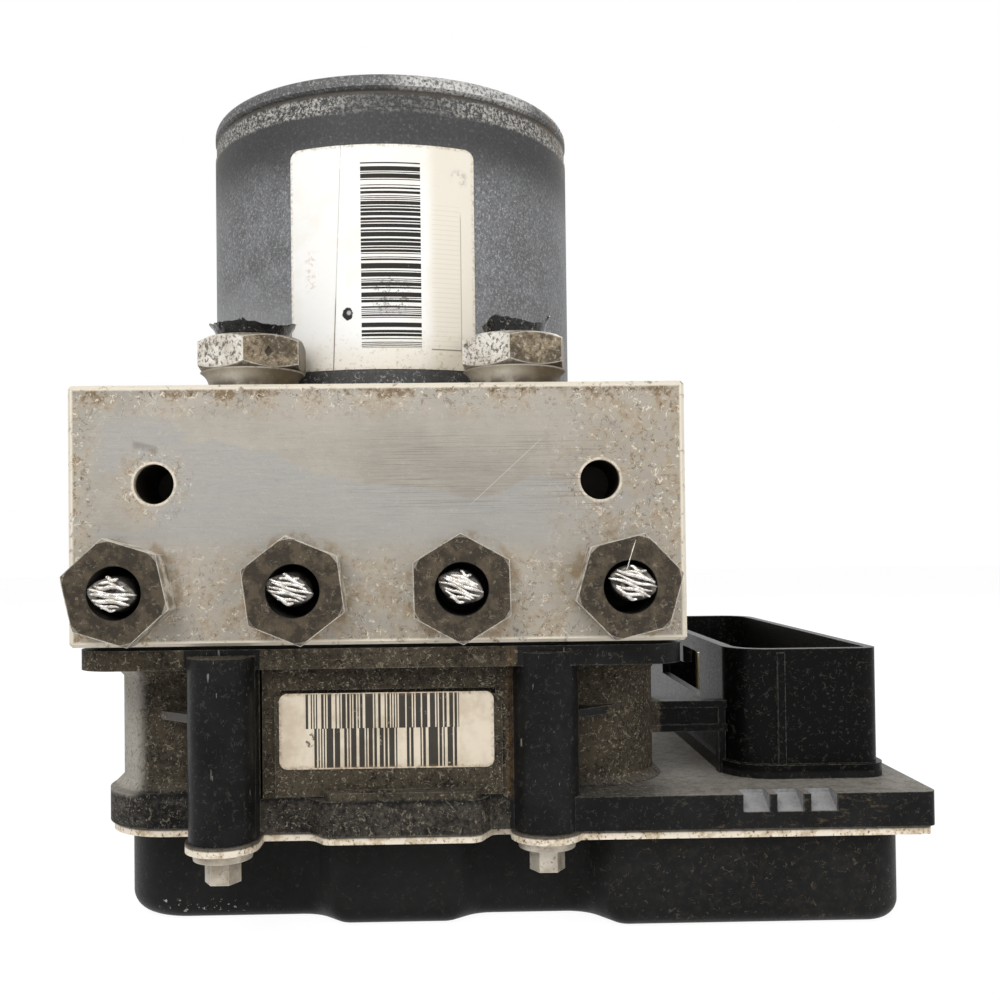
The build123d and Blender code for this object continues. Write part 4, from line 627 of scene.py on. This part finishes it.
# dark metal under the bright strands, painted for the shade in the grooves of the crumpled cut
pipe_groove_shade = metal("pinched_pipe", (120, 116, 110), (60, 56, 51), (28, 25, 21),
                  rough=(0.24, 0.4), scale=1.4, relief=0.1, metallic=0.8, edge=0.0)
spring = metal("spring_steel", (128, 128, 130), (96, 96, 98), (60, 58, 56), edge=0.0)
iron = metal("core_iron", (74, 74, 76), (54, 54, 56), (34, 32, 30), (0.4, 0.6))
ferrite = metal("ferrite", (52, 52, 54), (38, 38, 40), (24, 24, 24), (0.5, 0.7), metallic=0.2)
contact = metal("contact_metal", (214, 206, 186), (190, 176, 140), (110, 92, 60), metallic=0.85, edge=0.0)
copper = winding_material()
carbon = soft_material("carbon", (34, 34, 35), (22, 22, 22))
resin = soft_material("resin", (70, 84, 70), (52, 62, 52))
board = soft_material("board_green", (22, 88, 62), (16, 66, 48), (0.3, 0.45))
rubber = soft_material("gasket_rubber", (32, 32, 32), (22, 22, 22), (0.6, 0.8))
carrier = soft_material("pin_carrier_plastic", (34, 34, 34), (24, 24, 24), (0.35, 0.5))

dress(block_material(), "hydraulic_block")
dress(can_material(), "motor_can")
dress(front_nut_material(), "front_pipe_nuts")
dress(top_nut_material(), "top_pipe_nuts")
dress(housing_material(), "ecu_housing")
dress(cover_material(), "lower_cover")
dress(plate_material(), "base_plate")
dress(motor_label_material(), "motor_label")
dress(ecu_label_material(), "ecu_label")
dress(dull, "ecu_screws", "deck_screws", "motor_screws", "passage_plugs", "coil_cases", "accumulator_caps")
dress(turned, "rear_bush", "front_bearing", "motor_shaft", "eccentric_ring", "pump_sleeves", "pump_plugs",
      "pump_piston_left", "pump_piston_right", "accumulator_piston_left", "accumulator_piston_right",
      "valve_cartridges")
dress(spring, "pump_spring_left", "pump_spring_right", "accumulator_spring_left", "accumulator_spring_right")
dress(iron, "armature_core")
dress(ferrite, "magnets")
dress(contact, "connector_pins", "coil_leads", "commutator")
dress(copper, "armature_windings", "coil_windings")
dress(carbon, "brushes", "board_chips")
dress(resin, "brush_plate")
dress(board, "circuit_board")
dress(rubber, "block_gasket")
dress(carrier, "pin_carrier")


# ------------------------------------------------------------------ mesh pieces
def new_piece(name, points, faces, material):
    """Smooth object from points in millimetres, with its faces turned outward."""
    mesh = bpy.data.meshes.new(name)
    mesh.from_pydata([tuple(c * MM for c in point) for point in points], [], faces)
    mesh.update()
    work = bmesh.new()
    work.from_mesh(mesh)
    bmesh.ops.recalc_face_normals(work, faces=work.faces)
    work.to_mesh(mesh)
    work.free()
    mesh.polygons.foreach_set("use_smooth", [True] * len(mesh.polygons))
    obj = bpy.data.objects.new(name, mesh)
    bpy.context.scene.collection.objects.link(obj)
    obj.data.materials.append(material)
    return obj


def rings_to_faces(first, rings, around):
    """Quads between closed rings of points, laid one after another."""
    faces = []
    for i in range(rings - 1):
        for j in range(around):
            a = first + i * around + j
            b = first + i * around + (j + 1) % around
            faces.append((a, b, b + around, a + around))
    return faces


def closed_tube(first, rings, around):
    """Quads between closed rings of points, and a flat face over either end."""
    last = first + (rings - 1) * around
    ends = [tuple(start + j for j in range(around)) for start in (first, last)]
    return rings_to_faces(first, rings, around) + ends


# ------------------------------------------------------------------ pinched pipe ends
PIPE_AROUND = 96
PIPE_RADIUS = 2.9
PIPE_START = -31.6
# the round pipe flattens over this length, up to its cut
PINCH_START = -46.3
PINCH_LENGTH = 4.2
PINCH_STEPS = 6
CUT_Y = PINCH_START - PINCH_LENGTH
CUT_RINGS = 22
# middle of each pinched end across and up, its half length and half height, its lean in degrees and its seed
PINCHES = (
    (-38.75, 53.75, 3.9, 2.6, -8.0, 1.7),
    (-12.75, 54.2, 3.75, 2.3, -16.0, 4.3),
    (12.45, 54.2, 3.65, 2.4, -21.0, 7.9),
    (37.9, 54.5, 3.75, 2.7, -18.0, 11.2),
)


def leaned(x, z, u, v, tilt):
    """Across and up of a point u along and v over a pinched end that leans by tilt about its middle."""
    return x + u * math.cos(tilt) - v * math.sin(tilt), z + u * math.sin(tilt) + v * math.cos(tilt)


def leaf(turn):
    """Outline of a pinched end as shares of its half sizes, coming to a point at either end."""
    across = math.sin(turn)
    return math.cos(turn), across * abs(across) ** 0.3


def pinched_end(points, faces, x, z, half_long, half_tall, tilt, seed):
    """Pipe from its port to an end squeezed flat, with a dark crumpled cut."""
    first = len(points)
    wide_end = min(half_long, 3.6)
    tall_end = half_tall - 0.2
    stations = [(PIPE_START, PIPE_RADIUS, PIPE_RADIUS, 0.0), (PINCH_START, PIPE_RADIUS, PIPE_RADIUS, 0.0)]
    for step in range(1, PINCH_STEPS + 1):
        part = step / PINCH_STEPS
        wide = PIPE_RADIUS + (wide_end - PIPE_RADIUS) * part
        tall = PIPE_RADIUS + (tall_end - PIPE_RADIUS) * part
        stations.append((PINCH_START - PINCH_LENGTH * part, wide, tall, part))
    for y, wide, tall, part in stations:
        for j in range(PIPE_AROUND):
            turn = 2 * math.pi * j / PIPE_AROUND
            u, v = leaf(turn)
            u = wide * (math.cos(turn) + (u - math.cos(turn)) * part)
            v = tall * (math.sin(turn) + (v - math.sin(turn)) * part)
            px, pz = leaned(x, z, u, v, tilt)
            points.append((px, y, pz))
    for step in range(1, CUT_RINGS + 1):
        r = 1.0 - step / (CUT_RINGS + 0.6)
        dome = math.sqrt(max(0.0, 1 - r * r))
        for j in range(PIPE_AROUND):
            u, v = leaf(2 * math.pi * j / PIPE_AROUND)
            u *= wide_end * r
            v *= tall_end * r
            crumple = noise.noise(Vector((u * 1.1 + seed, v * 1.6, seed)))
            chop = noise.noise(Vector((u * 2.6, v * 2.6, seed * 3.1)))
            y = CUT_Y - 0.8 * dome - 0.35 * crumple * dome - 0.16 * chop * dome
            px, pz = leaned(x, z, u, v, tilt)
            points.append((px, y, pz))
    faces.extend(closed_tube(first, len(stations) + CUT_RINGS, PIPE_AROUND))


points, faces = [], []
for pinch_x, pinch_z, long, tall, lean, seed in PINCHES:
    pinched_end(points, faces, pinch_x, pinch_z, long, tall, math.radians(lean), seed)
pipe_ends = new_piece("pinched_pipe_ends", points, faces, pipe_groove_shade)
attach(pipe_ends, "unit")
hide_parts("cut_pipes")


# strands over each pinched end, spots along each strand and points round it
STRANDS = 8
SPOTS = 16
STRAND_AROUND = 8
# loose hair up from the last pipe
HAIR = ((36.6, -51.5, 55.9), (37.0, -51.5, 57.0), (37.6, -51.3, 58.9), (38.3, -51.1, 60.9))


def strand(points, faces, path, thick):
    """Thin round wire through a few points, tapering to its ends."""
    first = len(points)
    for i, spot in enumerate(path):
        ahead = path[min(i + 1, len(path) - 1)]
        behind = path[max(i - 1, 0)]
        along = (Vector(ahead) - Vector(behind)).normalized()
        side = along.cross(Vector((0, 0, 1))).normalized()
        up = side.cross(along)
        taper = math.sin(math.pi * (i + 0.6) / (len(path) + 0.2)) ** 0.4
        for j in range(STRAND_AROUND):
            turn = 2 * math.pi * j / STRAND_AROUND
            points.append(tuple(Vector(spot) + (side * math.cos(turn) + up * math.sin(turn)) * thick * taper))
    faces.extend(closed_tube(first, len(path), STRAND_AROUND))


# bright drawn strands that lie over each pinched end, some reaching past its points
points, faces = [], []
picker = random.Random(11)
for pinch_x, pinch_z, long, tall, tilt, seed in PINCHES:
    lean = math.radians(tilt)
    for k in range(STRANDS):
        level = (k - (STRANDS - 1) / 2) / 4.1 + picker.uniform(-0.06, 0.06)
        reach = (1 - abs(level) ** 1.5) ** 0.75
        start = -reach * picker.uniform(0.72, 1.04)
        end = reach * picker.uniform(0.72, 1.04)
        swing = picker.uniform(0.03, 0.1)
        path = []
        for i in range(SPOTS):
            share = i / (SPOTS - 1)
            u = long * (start + (end - start) * share)
            v = tall * (level * 0.96 + swing * math.sin(share * 7.0 + k * 1.9))
            inside = max(0.0, 1 - (u / long) ** 2 - (v / tall) ** 2)
            y = CUT_Y - 0.25 - 0.95 * math.sqrt(inside) - 0.28 * noise.noise(Vector((u * 1.2, k * 3.0, seed)))
            px, pz = leaned(pinch_x, pinch_z, u, v, lean)
            path.append((px, y - 0.05 * picker.random(), pz))
        strand(points, faces, path, picker.uniform(0.24, 0.42))
strand(points, faces, HAIR, 0.08)
pipe_strands = new_piece("drawn_pipe_strands", points, faces, pipe)
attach(pipe_strands, "unit")


# ------------------------------------------------------------------ torn sleeves
NUT_TOP = 93.3
SLEEVE_RADIUS = 3.94
SLEEVE_WALL = 0.9
SLEEVE_DEPTH = 8.6
SLEEVE_AROUND = 144
SLEEVE_LEVELS = 18
# thickness of the torn mouth
SKIN = 0.45


def torn_sleeve(points, faces, x, y, seed, waist, flare, height, tips):
    """Plastic sleeve down the nut's bore, its mouth spread on the nut and torn into a ragged upright band."""
    first = len(points)

    def mouth(turn, share, skin):
        ragged = noise.noise(Vector((math.cos(turn) * 2.1, math.sin(turn) * 2.1, seed)))
        teeth = noise.noise(Vector((math.cos(turn) * 7.0, math.sin(turn) * 7.0, seed + 5.0)))
        rise = height + 0.15 * ragged + 0.35 * teeth
        reach = flare + 0.25 * ragged
        for tip_turn, tip_reach, tip_rise, width in tips:
            away = turn - math.radians(tip_turn)
            gap = math.atan2(math.sin(away), math.cos(away))
            lift = math.exp(-(gap / width) ** 2)
            reach += tip_reach * lift
            rise += tip_rise * lift
        rise = max(0.5, rise)
        spread = min(1.0, share / 0.35)
        climb = max(0.0, share - 0.3) / 0.7
        radius = SLEEVE_RADIUS + (waist - SLEEVE_RADIUS) * spread + (reach - waist) * climb ** 1.6
        level = NUT_TOP + 0.12 + 0.1 * spread + rise * climb
        wave = 0.16 * noise.noise(Vector((math.cos(turn) * 4.0, math.sin(turn) * 4.0, share * 3.0 + seed)))
        return radius + wave * climb - skin * climb * 0.7, level + skin * (1 - 0.9 * climb)

    for inside in (False, True):
        for i in range(SLEEVE_LEVELS):
            for j in range(SLEEVE_AROUND):
                turn = 2 * math.pi * j / SLEEVE_AROUND
                if i < 3:
                    radius = SLEEVE_RADIUS - (SLEEVE_WALL if inside else 0.0)
                    level = NUT_TOP - SLEEVE_DEPTH + SLEEVE_DEPTH * i / 2.0
                    if i == 2:
                        level = NUT_TOP + (SKIN if inside else 0.05)
                else:
                    share = (i - 2) / (SLEEVE_LEVELS - 3)
                    radius, level = mouth(turn, share, SKIN if inside else 0.0)
                    if inside:
                        radius = max(radius, SLEEVE_RADIUS - SLEEVE_WALL)
                points.append((x + radius * math.cos(turn), y + radius * math.sin(turn), level))
    shell = SLEEVE_LEVELS * SLEEVE_AROUND
    faces.extend(rings_to_faces(first, SLEEVE_LEVELS, SLEEVE_AROUND))
    inner = rings_to_faces(first + shell, SLEEVE_LEVELS, SLEEVE_AROUND)
    faces.extend(tuple(reversed(face)) for face in inner)
    # foot and torn rim between the two skins
    for level in (0, SLEEVE_LEVELS - 1):
        for j in range(SLEEVE_AROUND):
            a = first + level * SLEEVE_AROUND + j
            b = first + level * SLEEVE_AROUND + (j + 1) % SLEEVE_AROUND
            faces.append((a, b, b + shell, a + shell))


# each tip: its direction in degrees, how much farther out and higher it stands, and its width in radians
LEFT_TIPS = (
    (180.0, 0.4, 0.5, 0.4),
    (0.0, 0.4, 0.6, 0.35),
    (-55.0, 0.1, -0.35, 0.4),
    (-95.0, 0.0, 0.3, 0.1),
)
RIGHT_TIPS = (
    (188.0, 0.3, -0.2, 0.3),
    (-120.0, 0.5, 0.7, 0.35),
    (-60.0, 0.1, -0.4, 0.3),
    (2.0, 0.6, 1.3, 0.3),
)
points, faces = [], []
torn_sleeve(points, faces, *TOP_PORTS[0], 2.4, 5.6, 6.35, 1.8, LEFT_TIPS)
torn_sleeve(points, faces, *TOP_PORTS[1], 8.7, 4.8, 5.1, 2.0, RIGHT_TIPS)
sleeves = new_piece("torn_sleeve_flaps", points, faces, sleeve_material())
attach(sleeves, "unit")
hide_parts("torn_sleeves")


# ------------------------------------------------------------------ springs
def live_spring(node, axis, outward):
    """Copy of a CAD spring, with the original hidden; its fixed outer end and the end at the piston it
    carries are worked out but not used.
    """
    low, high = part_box(node)
    middle = (low + high) / 2
    fixed, moving = middle.copy(), middle.copy()
    fixed[axis], moving[axis] = (high[axis], low[axis]) if outward > 0 else (low[axis], high[axis])
    obj = bpy.data.objects.new(node + "_wire", bpy.data.objects[node].data.copy())
    bpy.context.scene.collection.objects.link(obj)
    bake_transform(obj)
    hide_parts(node)


live_spring("pump_spring_left", 0, -1)
live_spring("pump_spring_right", 0, 1)
live_spring("accumulator_spring_left", 1, 1)
live_spring("accumulator_spring_right", 1, 1)


# ------------------------------------------------------------------ floor, light and camera
# half the floor's side in metres
FLOOR_HALF = 2.5
# how strongly the floor glows for white rays, and the glow's share over its matt surface
FLOOR_GLOW = 1.1
GLOW_SHARE = 0.85
# strength of the world for white rays and for the rays that light the part
WORLD_WHITE = 1.0
WORLD_LIGHT = 0.42


def white_rays(nodes, links):
    """One for the rays that see the plain white: from the camera, mirrored or passed through."""
    path = nodes.new("ShaderNodeLightPath")
    total = path.outputs["Is Camera Ray"]
    for name in ("Is Glossy Ray", "Is Transmission Ray"):
        more = nodes.new("ShaderNodeMath")
        more.operation = "MAXIMUM"
        links.new(total, more.inputs[0])
        links.new(path.outputs[name], more.inputs[1])
        total = more.outputs[0]
    return total


def stage_material():
    material = bpy.data.materials.new("pale_floor")
    material.use_nodes = True
    nodes = material.node_tree.nodes
    links = material.node_tree.links
    nodes.clear()
    output = nodes.new("ShaderNodeOutputMaterial")
    matt = nodes.new("ShaderNodeBsdfDiffuse")
    matt.inputs["Color"].default_value = (0.8, 0.8, 0.8, 1.0)
    glow = nodes.new("ShaderNodeEmission")
    glow.inputs["Color"].default_value = (1.0, 1.0, 1.0, 1.0)
    glow.inputs["Strength"].default_value = FLOOR_GLOW
    part = nodes.new("ShaderNodeMath")
    part.operation = "MULTIPLY"
    part.inputs[1].default_value = GLOW_SHARE
    links.new(white_rays(nodes, links), part.inputs[0])
    mix = nodes.new("ShaderNodeMixShader")
    links.new(part.outputs[0], mix.inputs[0])
    links.new(matt.outputs[0], mix.inputs[1])
    links.new(glow.outputs[0], mix.inputs[2])
    links.new(mix.outputs[0], output.inputs["Surface"])
    return material


floor_mesh = bpy.data.meshes.new("floor")
corners = [(x * FLOOR_HALF, y * FLOOR_HALF, 0) for x, y in ((-1, -1), (1, -1), (1, 1), (-1, 1))]
floor_mesh.from_pydata(corners, [], [(0, 1, 2, 3)])
floor = bpy.data.objects.new("floor", floor_mesh)
bpy.context.scene.collection.objects.link(floor)
floor.data.materials.append(stage_material())

world = bpy.data.worlds.new("studio")
bpy.context.scene.world = world
world.use_nodes = True
nodes = world.node_tree.nodes
links = world.node_tree.links
background = nodes["Background"]
background.inputs["Color"].default_value = (1.0, 1.0, 1.0, 1.0)
strength = nodes.new("ShaderNodeMapRange")
strength.inputs["To Min"].default_value = WORLD_LIGHT
strength.inputs["To Max"].default_value = WORLD_WHITE
links.new(white_rays(nodes, links), strength.inputs["Value"])
links.new(strength.outputs[0], background.inputs["Strength"])


def softbox(name, place, target, size, watts):
    """Area lamp at a place, turned to its target; metres and watts."""
    lamp = bpy.data.lights.new(name, "AREA")
    lamp.shape = "RECTANGLE"
    lamp.size, lamp.size_y = size
    lamp.energy = watts
    obj = bpy.data.objects.new(name, lamp)
    bpy.context.scene.collection.objects.link(obj)
    obj.location = place
    obj.rotation_euler = (Vector(target) - Vector(place)).to_track_quat("-Z", "Y").to_euler()


softbox("key", (-0.35, -0.75, 0.75), (0.0, 0.0, 0.06), (0.6, 0.5), 6.0)
softbox("fill", (0.65, -0.6, 0.35), (0.0, 0.0, 0.06), (0.5, 0.5), 2.3)
softbox("back", (0.1, 0.7, 0.6), (0.0, 0.0, 0.08), (0.7, 0.3), 3.5)

# camera worked out from the block's corners in the photograph
camera_data = bpy.data.cameras.new("camera")
camera_data.lens = 39.87
camera_data.sensor_width = 36.0
camera_data.shift_x = 0.015
camera_data.shift_y = 0.030
camera_data.clip_start = 0.01
camera = bpy.data.objects.new("camera", camera_data)
bpy.context.scene.collection.objects.link(camera)
right = Vector((0.99974, -0.01937, -0.0119)).normalized()
ahead = Vector((0.01955, 0.99969, 0.01558)).normalized()
up = right.cross(ahead).normalized()
turn = Matrix((right, up, -ahead)).transposed()
camera.matrix_world = Matrix.Translation(Vector((0.0129, -0.2138, 0.06004))) @ turn.to_4x4()
bpy.context.scene.camera = camera
bpy.context.scene.view_settings.view_transform = "Standard"
